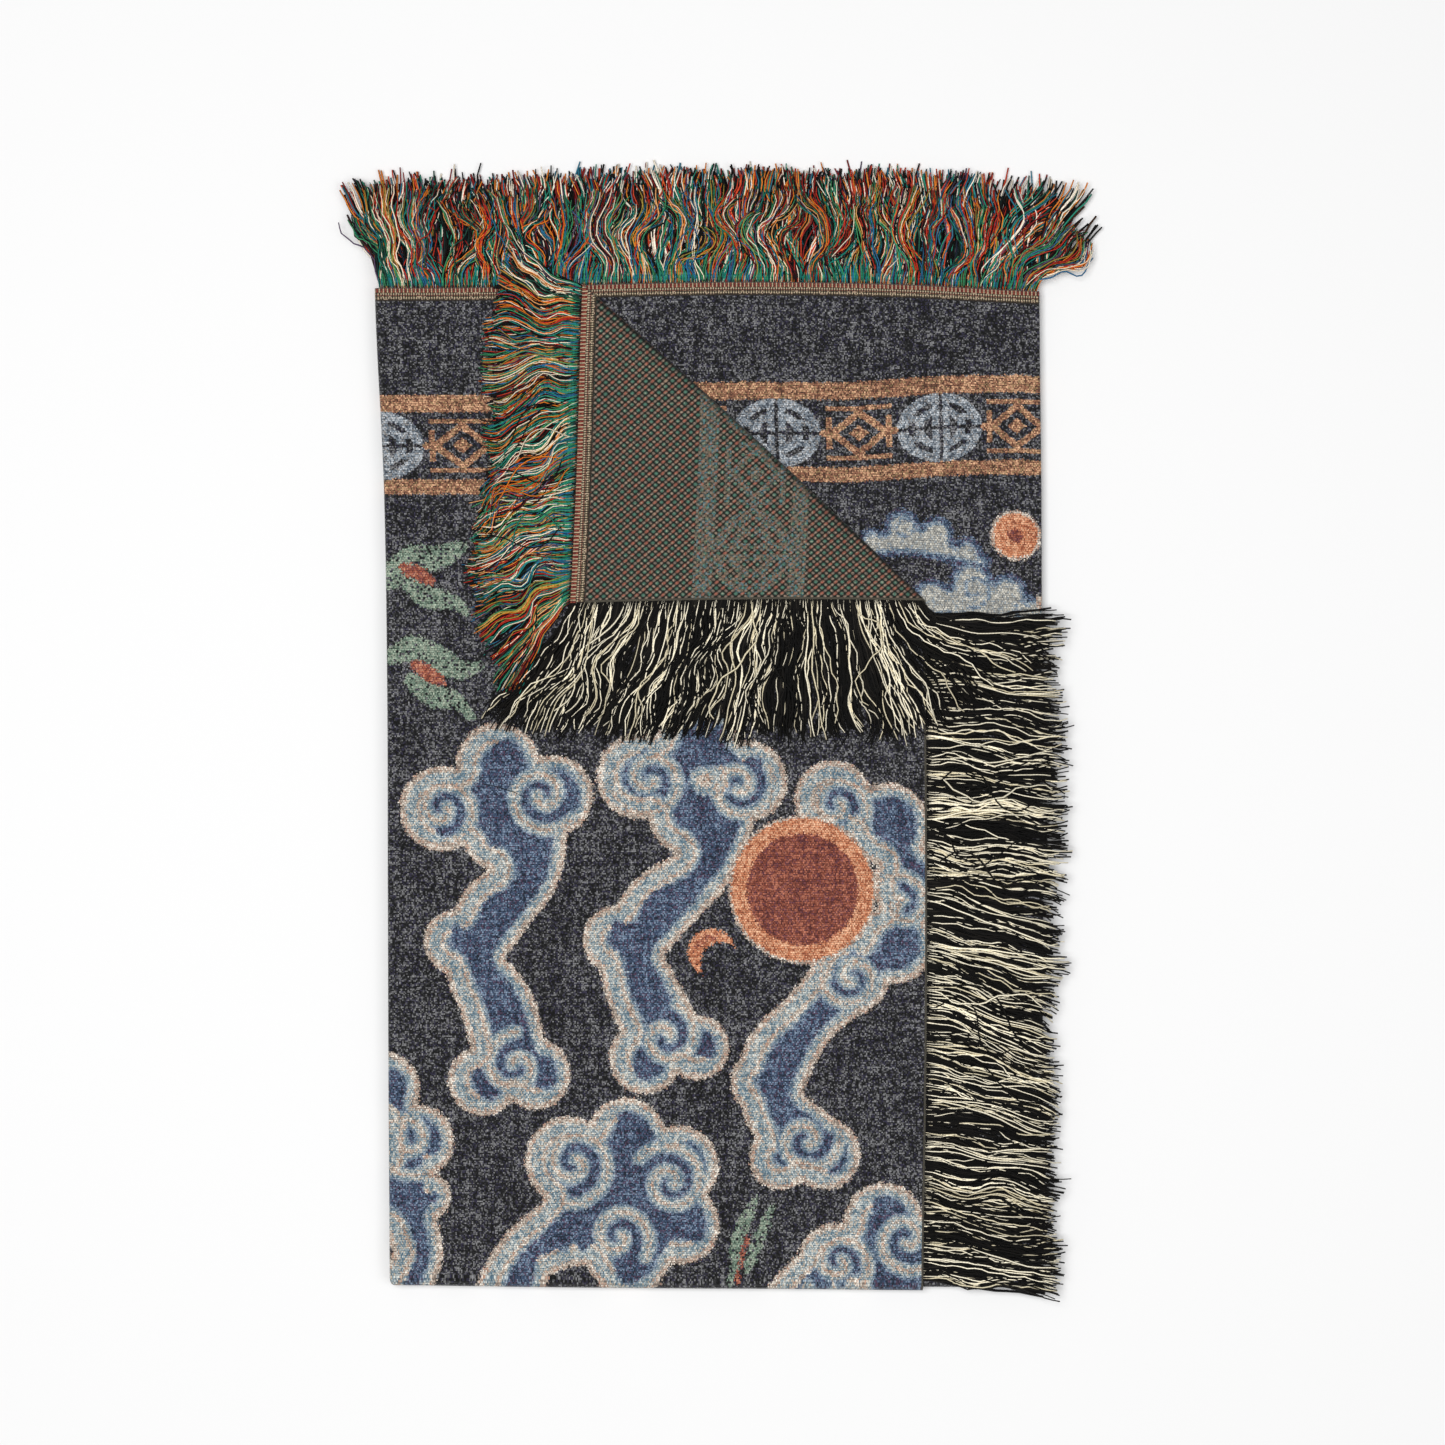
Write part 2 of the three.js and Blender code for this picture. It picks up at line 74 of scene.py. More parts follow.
LEFT_FOLD_START = TOP_PANEL_WIDTH - LEFT_FOLD_X
LEFT_FOLD_END = LEFT_FOLD_START + math.pi * LEFT_FOLD_RADIUS
RIGHT_FOLD_START = LEFT_FOLD_END + RIGHT_FOLD_X - LEFT_FOLD_X
RIGHT_FOLD_END = RIGHT_FOLD_START + math.pi * RIGHT_FOLD_RADIUS

HALF_FOLD_ARC = math.pi * RIGHT_PANEL_LEVEL
HALF_FOLD_START = (CLOTH_LENGTH - HALF_FOLD_ARC) / 2
HALF_FOLD_END = HALF_FOLD_START + HALF_FOLD_ARC
HALF_FOLD_Y = MIDDLE_HEIGHT
FOLDED_LENGTH = HALF_FOLD_Y + HALF_FOLD_START

CREASE_TOP_X = 153.0
CREASE_SIDE_Y = 520.0
CREASE_RADIUS = 1.6
CREASE_SLIP = -0.175  # how far the corner slides along its crease, for each mm beyond it
CORNER_EASE = 0.0725  # how much the corner gives, away from its crease
CREASE_TOP_U = TOP_PANEL_WIDTH - CREASE_TOP_X
CREASE_SIDE_V = FOLDED_LENGTH - CREASE_SIDE_Y
CREASE_LENGTH = math.hypot(CREASE_TOP_U, CREASE_SIDE_V)
CREASE_ALONG = np.array([CREASE_TOP_U, -CREASE_SIDE_V]) / CREASE_LENGTH
CREASE_OUT = np.array([-CREASE_ALONG[1], CREASE_ALONG[0]])
CORNER_DEPTH = CREASE_TOP_U * CREASE_OUT[0]

# A slight hollow of the uppermost panel beside its fold
HOLLOW_FROM, HOLLOW_TO, HOLLOW_DEPTH = 14.0, 150.0, 0.7

# How far the stack's outline lies from the neat one, from one end of each side to the other
OUTLINE_SHIFTS = {
    "left": (3.5, 2.5, 2, 1.5, -1, -8),
    "right": (-2, 1, 2, 1, 0.5, -1),
    "bottom": (3, 1.5, 0.5, 0, -1, -1.5),
    "top": (0, 1, 4, 5, 3, -2),
}
# Soft rises of the whole stack: x, y, spread in x, spread in y, share of the height
RISES = (
    (0, 380, 30, 900, 0.15),
    (260, 0, 600, 30, 0.12),
    (500, 380, 45, 900, 0.06),
    (120, 640, 90, 50, 0.07),
    (330, 300, 110, 80, 0.09),
    (170, 160, 70, 120, -0.06),
    (420, 560, 60, 90, 0.06),
)
RIPPLE = 0.012  # a faint ripple all over, also a share of the height
# Where the frame's origin lies on the neat stack
ORIGIN = np.array([256.04, 433.02, 0.0])


def add_object(name, data):
    made = bpy.data.objects.new(name, data)
    bpy.context.collection.objects.link(made)
    return made


def smoothstep(t):
    t = np.clip(t, 0, 1)
    return t * t * (3 - 2 * t)


def along(values, place):
    """A smooth curve through a short list of values, read at a place from 0 to 1."""
    values = np.asarray(values, float)
    spot = np.clip(place, 0, 1) * (len(values) - 1)
    i = np.minimum(spot.astype(int), len(values) - 2)
    t = spot - i
    before, start = values[np.maximum(i - 1, 0)], values[i]
    end, after = values[i + 1], values[np.minimum(i + 2, len(values) - 1)]
    slope_start, slope_end = (end - before) / 2, (after - start) / 2
    return (
        (2 * start - 2 * end + slope_start + slope_end) * t**3
        + (3 * end - 3 * start - 2 * slope_start - slope_end) * t**2
        + slope_start * t
        + start
    )


def across_strip(u, sink):
    """The folded strip seen from its end: x and the level of the layer's middle."""
    x = TOP_PANEL_WIDTH - u
    place = np.clip((x - HOLLOW_FROM) / (HOLLOW_TO - HOLLOW_FROM), 0, 1)
    level = TOP_PANEL_LEVEL - sink * HOLLOW_DEPTH * np.sin(math.pi * place) ** 2

    folds = (
        (LEFT_FOLD_START, LEFT_FOLD_END, LEFT_FOLD_X, LEFT_FOLD_RADIUS, 1, BASE_LEVEL),
        (RIGHT_FOLD_START, RIGHT_FOLD_END, RIGHT_FOLD_X, RIGHT_FOLD_RADIUS, -1,
         RIGHT_PANEL_LEVEL),
    )
    above = TOP_PANEL_LEVEL
    for start, end, fold_x, radius, hand, next_level in folds:
        turn = (u - start) / radius
        x = np.where(u >= start, fold_x - hand * radius * np.sin(turn), x)
        centre = (above + next_level) / 2
        level = np.where(u >= start, centre + hand * radius * np.cos(turn), level)
        x = np.where(u >= end, fold_x + hand * (u - end), x)
        level = np.where(u >= end, next_level, level)
        above = next_level
    return x, level


def cloth_points(u, v):
    """The middle of the cloth for places on the flat cloth, before it is made uneven."""
    u, v = np.broadcast_arrays(np.asarray(u, float), np.asarray(v, float))
    x, level = across_strip(u, np.where(v < HALF_FOLD_START, 1.0, 0.0))
    y = FOLDED_LENGTH - v
    z = MIDDLE_HEIGHT + level

    turn = math.pi * (v - HALF_FOLD_START) / HALF_FOLD_ARC
    here = v >= HALF_FOLD_START
    y = np.where(here, HALF_FOLD_Y - level * np.sin(turn), y)
    z = np.where(here, MIDDLE_HEIGHT + level * np.cos(turn), z)
    here = v > HALF_FOLD_END
    y = np.where(here, HALF_FOLD_Y + v - HALF_FOLD_END, y)
    z = np.where(here, MIDDLE_HEIGHT - level, z)

    beyond = (x - CREASE_TOP_X) * CREASE_OUT[0] + (y - FOLDED_LENGTH) * CREASE_OUT[1]
    here = (v < HALF_FOLD_START) & (u < LEFT_FOLD_START) & (beyond > 0)
    bend = np.minimum(beyond / CREASE_RADIUS, math.pi)
    flat_part = (beyond - bend * CREASE_RADIUS) * (1 + CORNER_EASE)
    out = CREASE_RADIUS * np.sin(bend) - flat_part - beyond
    slip = CREASE_SLIP * beyond
    x = np.where(here, x + out * CREASE_OUT[0] + slip * CREASE_ALONG[0], x)
    y = np.where(here, y + out * CREASE_OUT[1] + slip * CREASE_ALONG[1], y)
    z = np.where(here, z + CREASE_RADIUS * (1 - np.cos(bend)), z)
    return np.stack([x, y, z], axis=-1)


def unit(vectors):
    return vectors / np.maximum(np.linalg.norm(vectors, axis=-1, keepdims=True), 1e-12)


def cloth_frame(u, v):
    """The directions in which u and v grow on the folded cloth, and the way its face looks."""
    step = 0.01
    grow_u = unit(cloth_points(u + step, v) - cloth_points(u - step, v))
    grow_v = unit(cloth_points(u, v + step) - cloth_points(u, v - step))
    return grow_u, grow_v, unit(np.cross(grow_u, grow_v))


def uneven(points):
    """Gives points of the neat stack their places in the real one, in the part's frame."""
    x, y, z = points[..., 0], points[..., 1], points[..., 2]
    share = RIPPLE * np.sin(x / 31 + 0.7 * np.sin(y / 47)) * np.sin(y / 39 + 1.3)
    for rise_x, rise_y, spread_x, spread_y, height in RISES:
        share = share + height * np.exp(
            -(((x - rise_x) / spread_x) ** 2) - ((y - rise_y) / spread_y) ** 2
        )
    rightward, upward = x / FOLDED_WIDTH, y / FOLDED_LENGTH
    left = along(OUTLINE_SHIFTS["left"], upward)
    right = along(OUTLINE_SHIFTS["right"], upward)
    bottom = along(OUTLINE_SHIFTS["bottom"], rightward)
    top = along(OUTLINE_SHIFTS["top"], rightward)
    moved = np.stack(
        [
            x + left + (right - left) * np.clip(rightward, 0, 1),
            y + bottom + (top - bottom) * np.clip(upward, 0, 1),
            z * (1 + share),
        ],
        axis=-1,
    )
    return moved - ORIGIN


# ---- The woven design, in millimetres on the flat cloth


def panel_place(x, y, right_panel=False):
    """The place on the flat cloth of a point of the upper half: x from the left fold,
    y down from the top edge."""
    return (RIGHT_FOLD_END + RIGHT_FOLD_X - x if right_panel else TOP_PANEL_WIDTH - x), y


# A cloud: its lobes, as x, y and radius; its tail, as points with a radius that are joined
# smoothly; and its curls, as x, y, radius, start in turns, number of turns and hand
CLOUDS = (
    {
        "lobes": ((42, 398, 37), (84, 364, 36), (126, 388, 35), (84, 416, 32), (52, 500, 28),
                  (72, 606, 30), (112, 600, 31)),
        "tail": ((110, 414, 31), (108, 448, 26), (80, 478, 31), (66, 514, 26), (84, 550, 32),
                 (94, 590, 32)),
        "curls": ((42, 398, 30, 0.12, 1.45, 1), (118, 388, 29, 0.4, 1.4, -1),
                  (98, 594, 26, 0.75, 1.2, 1)),
    },
    {
        "lobes": ((192, 374, 37), (236, 346, 36), (274, 378, 35), (228, 404, 33), (174, 498, 29),
                  (196, 588, 31), (236, 580, 28)),
        "tail": ((252, 408, 31), (238, 446, 26), (206, 474, 31), (186, 508, 27), (196, 542, 32),
                 (214, 572, 31)),
        "curls": ((200, 376, 30, 0.05, 1.4, 1), (268, 382, 28, 0.6, 1.4, -1),
                  (212, 572, 26, 0.7, 1.2, -1)),
    },
    {
        "lobes": ((340, 392, 34), (382, 410, 36), (400, 456, 34), (386, 500, 34), (352, 524, 35),
                  (286, 606, 28), (334, 660, 31), (300, 664, 27)),
        "tail": ((352, 526, 31), (322, 556, 26), (298, 588, 31), (294, 622, 27), (316, 650, 33)),
        "curls": ((342, 396, 27, 0.3, 1.3, 1), (392, 470, 29, 0.1, 1.4, -1),
                  (354, 526, 27, 0.85, 1.4, 1), (320, 650, 27, 0.55, 1.25, -1)),
    },
    {
        "lobes": ((138, 666, 38), (182, 648, 34), (222, 670, 35), (224, 714, 34), (184, 734, 38),
                  (144, 714, 36), (184, 690, 34)),
        "tail": ((140, 716, 32), (106, 738, 26), (92, 768, 30)),
        "curls": ((142, 668, 32, 0.2, 1.5, 1), (216, 682, 30, 0.9, 1.5, -1),
                  (176, 724, 26, 0.4, 1.2, 1)),
    },
    {
        "lobes": ((344, 742, 34), (380, 712, 35), (416, 736, 34), (388, 768, 36), (318, 764, 24)),
        "tail": ((330, 750, 24), (310, 770, 24)),
        "curls": ((346, 742, 30, 0.1, 1.5, 1), (398, 724, 31, 0.6, 1.4, -1)),
    },
    {
        "lobes": ((-4, 612, 32), (22, 652, 32), (-2, 692, 33), (30, 694, 20)),
        "tail": ((10, 700, 24), (22, 738, 22), (6, 770, 22)),
        "curls": ((14, 652, 28, 0.35, 1.4, -1),),
    },
)
# The same kind of cloud on the right panel
RIGHT_CLOUDS = (
    {
        "lobes": ((372, 196, 13), (394, 184, 16), (420, 188, 15), (444, 200, 12)),
        "tail": ((358, 202, 9), (400, 196, 12), (456, 208, 7)),
        "curls": ((396, 186, 10, 0.5, 1.0, 1),),
    },
    {
        "lobes": ((416, 236, 16), (446, 224, 19), (474, 232, 18), (494, 248, 18)),
        "tail": ((396, 246, 11), (440, 240, 15), (504, 252, 14)),
        "curls": ((448, 230, 14, 0.2, 1.2, 1), (486, 242, 13, 0.7, 1.1, -1)),
    },
)
# Round suns: x, y, radius, and whether on the right panel
ROUNDELS = ((316, 460, 54, False), (480, 187, 17, True))
# Sprigs: the leaves and buds, as chains of x, y and radius
LEAVES = (
    ((4, 222, 9), (20, 208, 11), (40, 206, 9), (58, 198, 5)),
    ((18, 226, 6), (32, 236, 9), (50, 240, 6), (62, 248, 3)),
    ((4, 282, 6), (20, 276, 10), (38, 284, 11), (56, 292, 7), (72, 288, 3)),
    ((20, 300, 7), (36, 312, 9), (54, 316, 6), (64, 328, 3)),
    ((282, 694, 2), (274, 710, 5), (268, 728, 6), (266, 746, 4), (262, 760, 2)),
    ((294, 700, 2), (288, 716, 4), (281, 734, 5), (274, 750, 2)),
)
BUDS = (
    ((14, 214, 4), (24, 218, 5.5), (34, 224, 3.5)),
    ((22, 288, 4), (32, 295, 6), (42, 301, 3.5)),
    ((276, 722, 1.6), (271, 740, 2), (268, 756, 1.6)),
)
# Crescents: x, y, radius, then the shift and radius of the round that is cut away
CRESCENTS = ((247, 508, 18, 7, 8, 16),)

CLEAR_OF_DESIGN = 60.0  # a distance that stands for far away
CLOUD_FULLNESS = 0.88  # of the radii above
TIGHTEST_CURL = 3.5

# The border that runs along both ends of the cloth: its repeat, and from the selvedge band
# the middles of its rails and of the row between them, half the rails' widths, and its end
BORDER_PITCH = 125.0
OUTER_RAIL, OUTER_RAIL_HALF = 72.0, 6.6
INNER_RAIL, INNER_RAIL_HALF = 135.5, 5.6
BORDER_MIDDLE = 104.2
BORDER_END = 142.0
SELVEDGE_WIDTH = 10.0


def chain_discs(points, right_panel=False):
    """Discs closely spaced along a smooth line through points with a radius."""
    places = np.array([(*panel_place(x, y, right_panel), r) for x, y, r in points], float)
    share = np.linspace(0, 1, max(2, len(points) * 12))
    return np.stack([along(places[:, i], share) for i in range(3)], axis=-1)


def disc_distance(u, v, discs):
    """How far points lie outside the union of discs, less than 0 inside it."""
    best = np.full(u.shape, CLEAR_OF_DESIGN)
    for cu, cv, radius in discs:
        best = np.minimum(best, np.hypot(u - cu, v - cv) - radius)
    return best


def nearest(u, v, samples):
    """The distance from points to the nearest of many sample points, and its number."""
    tree = kdtree.KDTree(len(samples))
    for i, (su, sv) in enumerate(samples):
        tree.insert((su, sv, 0), i)
    tree.balance()
    found = [tree.find((pu, pv, 0)) for pu, pv in zip(u, v)]
    return np.array([each[2] for each in found]), np.array([each[1] for each in found])


def near_box(u, v, samples, margin=45.0):
    low, high = samples.min(axis=0) - margin, samples.max(axis=0) + margin
    return (u > low[0]) & (u < high[0]) & (v > low[1]) & (v < high[1])


def cloud_outline(discs):
    """Points along the outline of a union of discs."""
    points = []
    for cu, cv, radius in discs:
        turn = np.arange(0, TAU, 0.9 / radius)
        points.append(np.stack([cu + radius * np.cos(turn), cv + radius * np.sin(turn)], axis=-1))
    points = np.concatenate(points)
    return points[disc_distance(points[:, 0], points[:, 1], discs) > -0.05]


def curl_line(x, y, radius, start, turns, hand, right_panel):
    cu, cv = panel_place(x, y, right_panel)
    share = np.linspace(0, 1, 90)
    reach = TIGHTEST_CURL + (radius - TIGHTEST_CURL) * (1 - share) ** 1.1
    turn = TAU * (start + hand * turns * share)
    return np.stack([cu + reach * np.cos(turn), cv + reach * np.sin(turn)], axis=-1)


def woven_design(u, v):
    """Distances, in millimetres, from points of the flat cloth to the shapes of its design."""
    far = CLEAR_OF_DESIGN
    shape = {
        name: np.full(u.shape, far) for name in ("cloud", "curl", "sun", "leaf", "bud", "moon")
    }
    shape["double"] = np.zeros(u.shape)
    shape["wisp"] = (u > RIGHT_FOLD_END).astype(float)
    groups = [(cloud, False) for cloud in CLOUDS] + [(cloud, True) for cloud in RIGHT_CLOUDS]
    for cloud, right_panel in groups:
        lobes = [(*panel_place(x, y, right_panel), r) for x, y, r in cloud["lobes"]]
        discs = np.concatenate([lobes, chain_discs(cloud["tail"], right_panel)])
        discs[:, 2] *= CLOUD_FULLNESS
        outline = cloud_outline(discs)
        near = near_box(u, v, outline)
        pu, pv = u[near], v[near]
        inside = disc_distance(pu, pv, discs) < 0
        distance, index = nearest(pu, pv, outline)
        distance = np.where(inside, -distance, distance)
        closer = distance < shape["cloud"][near]
        shape["cloud"][near] = np.minimum(shape["cloud"][near], distance)
        # The pale band is broad on one side of a cloud, and here and there on the other
        beside = (outline[index, 0] - pu) / np.maximum(np.abs(distance), 0.01)
        beside = beside + 0.7 * np.sin(outline[index, 0] / 21) * np.cos(outline[index, 1] / 24)
        shape["double"][near] = np.where(closer, smoothstep(beside + 0.5), shape["double"][near])
        curls = np.concatenate([curl_line(*curl, right_panel) for curl in cloud["curls"]])
        to_curl = np.where(inside, nearest(pu, pv, curls)[0], far)
        shape["curl"][near] = np.minimum(shape["curl"][near], to_curl)
    for x, y, radius, right_panel in ROUNDELS:
        cu, cv = panel_place(x, y, right_panel)
        shape["sun"] = np.minimum(shape["sun"], np.hypot(u - cu, v - cv) - radius)
    for name, chains in (("leaf", LEAVES), ("bud", BUDS)):
        discs = np.concatenate([chain_discs(chain) for chain in chains])
        near = near_box(u, v, discs[:, :2], 30)
        shape[name][near] = disc_distance(u[near], v[near], discs)
    for x, y, radius, shift_x, shift_y, cut in CRESCENTS:
        cu, cv = panel_place(x, y)
        whole = np.hypot(u - cu, v - cv) - radius
        cut_away = cut - np.hypot(u - cu + shift_x, v - cv - shift_y)
        shape["moon"] = np.minimum(shape["moon"], np.maximum(whole, cut_away))
    return {name: np.clip(values, -far, far) for name, values in shape.items()}


def border_repeat(u):
    """Counts the border's repeats across the cloth: a medallion stands at each whole number."""
    at_left_fold, on_right_panel = 412.5, 986.8
    middle_repeats = 5
    middle = (u - at_left_fold) / (on_right_panel - at_left_fold) * middle_repeats
    outer_left = (u - at_left_fold) / BORDER_PITCH
    outer_right = middle_repeats + (u - on_right_panel) / BORDER_PITCH
    return np.where(u < at_left_fold, outer_left, np.where(u < on_right_panel, middle, outer_right))


def border_rise(u):
    """How far the border lies towards the colour fringe from its usual place."""
    return np.interp(u, (0, 420, 927, 973, 1019, 1057, 1167), (-6.5, -6.5, 11, 8.3, 3.5, 0, -0.5))


def past_crease(u, v):
    """How far a place of the turned corner lies past the start of its crease, which the material
    uses to paint shade along the crease.
    """
    elsewhere = 99.0
    x, y = TOP_PANEL_WIDTH - u, FOLDED_LENGTH - v
    beyond = (x - CREASE_TOP_X) * CREASE_OUT[0] + (y - FOLDED_LENGTH) * CREASE_OUT[1]
    on_corner = (beyond > 0) & (v < HALF_FOLD_START) & (u < LEFT_FOLD_START)
    return np.where(on_corner, beyond, elsewhere)


# ---- Materials


def paint(hex_colour):
    """A colour written as on a dye card, as Blender's linear colour."""
    parts = [int(hex_colour[i : i + 2], 16) / 255 for i in (0, 2, 4)]
    linear = [p / 12.92 if p <= 0.04045 else ((p + 0.055) / 1.055) ** 2.4 for p in parts]
    return (*linear, 1.0)


def operator(operation, turned=False):
    """A method that adds a Math node; turned puts the value itself last."""
    def apply(self, *others):
        values = (*others, self) if turned else (self, *others)
        return self.node("ShaderNodeMath", {"operation": operation}, dict(enumerate(values)))

    return apply


class Value:
    """A number, colour or vector on its way through a material's nodes."""

    __add__ = __radd__ = operator("ADD")
    __mul__ = __rmul__ = operator("MULTIPLY")
    __sub__, __rsub__ = operator("SUBTRACT"), operator("SUBTRACT", turned=True)
    __truediv__ = operator("DIVIDE")
    __lt__, __gt__ = operator("LESS_THAN"), operator("GREATER_THAN")
    __abs__ = operator("ABSOLUTE")
    least, most = operator("MINIMUM"), operator("MAXIMUM")
    whole, part, root = operator("FLOOR"), operator("FRACT"), operator("SQRT")

    def __init__(self, tree, socket):
        self.tree = tree
        self.socket = socket

    def node(self, kind, settings=None, inputs=None, output=0):
        made = self.tree.nodes.new(kind)
        for name, setting in (settings or {}).items():
            setattr(made, name, setting)
        for place, value in (inputs or {}).items():
            if isinstance(value, Value):
                self.tree.links.new(value.socket, made.inputs[place])
            else:
                made.inputs[place].default_value = value
        return Value(self.tree, made.outputs[output])

    def ramp(self, low, high, from_value=0.0, to_value=1.0):
        """Runs smoothly from one value to another while this one runs from low to high."""
        settings = {"interpolation_type": "SMOOTHSTEP"}
        inputs = {0: self, 1: low, 2: high, 3: from_value, 4: to_value}
        return self.node("ShaderNodeMapRange", settings, inputs)

    def blend(self, first, second):
        """The first colour where this mask is 0, and the second where it is 1."""
        first, second = (paint(each) if isinstance(each, str) else each for each in (first, second))
        return self.node("ShaderNodeMix", {"data_type": "RGBA"}, {0: self, 6: first, 7: second}, 2)

    def shade(self, amount):
        """This colour, made darker or lighter."""
        inputs = {0: self, "Scale": amount}
        return self.node("ShaderNodeVectorMath", {"operation": "SCALE"}, inputs)

    def between(self, low, high):
        """1 where this value lies between the two."""
        return (self > low) * (self < high)


def length_of(x, y):
    return (x * x + y * y).root()


def union(*masks):
    """1 where any of the masks is."""
    return reduce(Value.most, masks)


def new_material(name):
    material = bpy.data.materials.new(name)
    material.use_nodes = True
    tree = material.node_tree
    tree.nodes.clear()
    output = tree.nodes.new("ShaderNodeOutputMaterial")
    shader = tree.nodes.new("ShaderNodeBsdfPrincipled")
    tree.links.new(shader.outputs[0], output.inputs[0])
    return material, shader, Value(tree, None)


def attribute(start, name, output=2):
    return start.node("ShaderNodeAttribute", {"attribute_name": name}, output=output)


def parts_of(start, kind, value):
    """The three numbers of a vector or colour."""
    outputs = start.node(kind, inputs={0: value}).socket.node.outputs
    return [Value(start.tree, outputs[i]) for i in range(3)]


def chances(start, x, y):
    """Three random numbers for each whole cell."""
    cell = start.node("ShaderNodeCombineXYZ", inputs={0: x.whole(), 1: y.whole()})
    dots = start.node("ShaderNodeTexWhiteNoise", {"noise_dimensions": "2D"}, {0: cell}, 1)
    return parts_of(start, "ShaderNodeSeparateColor", dots)


def cloudy(start, x, y, size):
    """Smooth noise around 0, with patches of about the given size."""
    place = start.node("ShaderNodeCombineXYZ", inputs={0: x / size, 1: y / size})
    inputs = {"Vector": place, "Scale": 1.0, "Detail": 2.0, "Roughness": 0.6}
    return start.node("ShaderNodeTexNoise", {"noise_dimensions": "2D"}, inputs) - 0.5


# Yarn colours of each region of the weave: the main one, then light, dark and stray flecks
DYES = {
    "ground": ("1d1d1f", "7e7e80", "080809", "302d44"),
    "cream": ("b3a394", "f0e7da", "80736a", "b88c76"),
    "pale_blue": ("88979d", "d5d6cf", "567080", "c6b39c"),
    "wisp": ("a4a29a", "dcd8cc", "7a7c7c", "8c9aa4"),
    "mid_blue": ("6f8294", "a8b4bc", "44586c", "8a8c96"),
    "navy": ("3a4a64", "7c8ea4", "1c2432", "543c52"),
    "border_tan": ("91634c", "dcae88", "50352a", "8e7854"),
    "medallion": ("78828c", "c2c6ca", "3f4650", "8c8680"),
    "sun_red": ("824434", "b4705a", "562a28", "683c48"),
    "sun_orange": ("c47c58", "f0bc98", "905038", "d8a27e"),
    "leaf": ("768a7a", "aab6a2", "435448", "8c8f80"),
    "bud": ("9c5440", "c88c70", "66342c", "7a4a50"),
}


def border_motifs(repeat, border_v, edge_wander):
    """The row between the border's rails: round lattices, and lozenge links in between."""
    along_repeat = abs((repeat + 0.5).part() - 0.5) * BORDER_PITCH
    from_roundel = along_repeat + edge_wander
    from_link = 0.5 * BORDER_PITCH - along_repeat + edge_wander
    high = abs(border_v - BORDER_MIDDLE) + edge_wander
    reach = length_of(from_roundel / 1.28, high)
    roundel = union(
        abs(reach - 23.0) < 3.3,
        abs(reach - 13.2) < 2.7,
        from_roundel.between(1.5, 7.0) * (high < 22),
        from_roundel.between(12, 24) * high.between(5.4, 10.2),
    )
    roundel = roundel * (high > 1.3) * (from_roundel > 1.3)
    lozenge = from_link / 1.3 + high
    link = union(
        abs(lozenge - 15.5) < 3.2,
        lozenge < 6.0,
        from_link.between(17, 30) * (high < 2.6),
        from_link.between(20.5, 25) * (high < 12),
        (from_link < 25) * high.between(17.0, 20.5),
    )
    return roundel, link


def back_of_weave(start, u, v, chance, light, blue):
    """Slanting rust floats between green ones on a dark ground, and a faint trace of the
    face: light is where cream or tan yarns lie under it, and blue where blue ones do."""
    pitch = 9.2
    down_slant, up_slant = (u + v * 1.03) / pitch, (u - v * 1.03) / pitch
    across_float, along_float = down_slant.part() - 0.5, up_slant.part() - 0.5
    from_corner, from_edge = abs(across_float) - 0.5, abs(along_float) - 0.5
    green = length_of(from_corner, from_edge).ramp(0.3, 0.06)
    rust = length_of(across_float, along_float * 1.45).ramp(0.37, 0.1)
    tan = length_of(across_float * 1.2, from_edge).ramp(0.28, 0.06)
    tan = tan.most(length_of(from_corner, along_float * 1.2).ramp(0.28, 0.06))
    colour = tan.blend("141915", (chance[1] > 0.5).blend("9c8876", "7a6e64"))
    colour = rust.blend(colour, (chance[1] > 0.7).blend("9c6050", "98806c"))
    colour = green.blend(colour, (chance[1] > 0.75).blend("527a68", "86927e"))
    floats = union(green, rust, tan)
    speck = (chance[1] > 0.45).blend("535f5a", "96866f")
    speck = (chance[2] > 0.75).blend(speck, "54808a")
    traced = (light * 0.55).most(blue * 0.5)
    colour = (traced * chance[0].ramp(0.05, 0.6)).blend(colour, speck)
    return colour, floats


def selvedge_band(u, mirrored_v, chance):
    """The band along the colour fringe: dark red and cream ticks, tan ribs and two cream lines."""
    tick_u, bead_u = (u / 3.0).part(), (u / 1.9).part()
    tick = (chance[0] > 0.5).blend("6c221e", "8c4434")
    tick = (tick_u > 0.5).blend(tick, "b49c80")
    tick = tick_u.between(0.38, 0.55).most(tick_u > 0.88).blend(tick, "1a100c")
    rib = (chance[1] > 0.5).blend("504438", "6c6048")
    rib = (bead_u < 0.42).blend(rib, "241c17")
    rib = (chance[0] > 0.85).blend(rib, "a8907a")
    bead = (bead_u < 0.5).blend("b8a88c", "3a3028")
    rust = (bead_u < 0.5).blend("7a4a3c", "2c241e")
    band = (mirrored_v < 3.6).blend(rib, tick)
    band = mirrored_v.between(4.3, 5.2).blend(band, bead)
    band = mirrored_v.between(5.2, 6.1).blend(band, rust)
    band = mirrored_v.between(7.2, 8.1).blend(band, bead)
    return mirrored_v.between(9.0, SELVEDGE_WIDTH).blend(band, "2a231d")


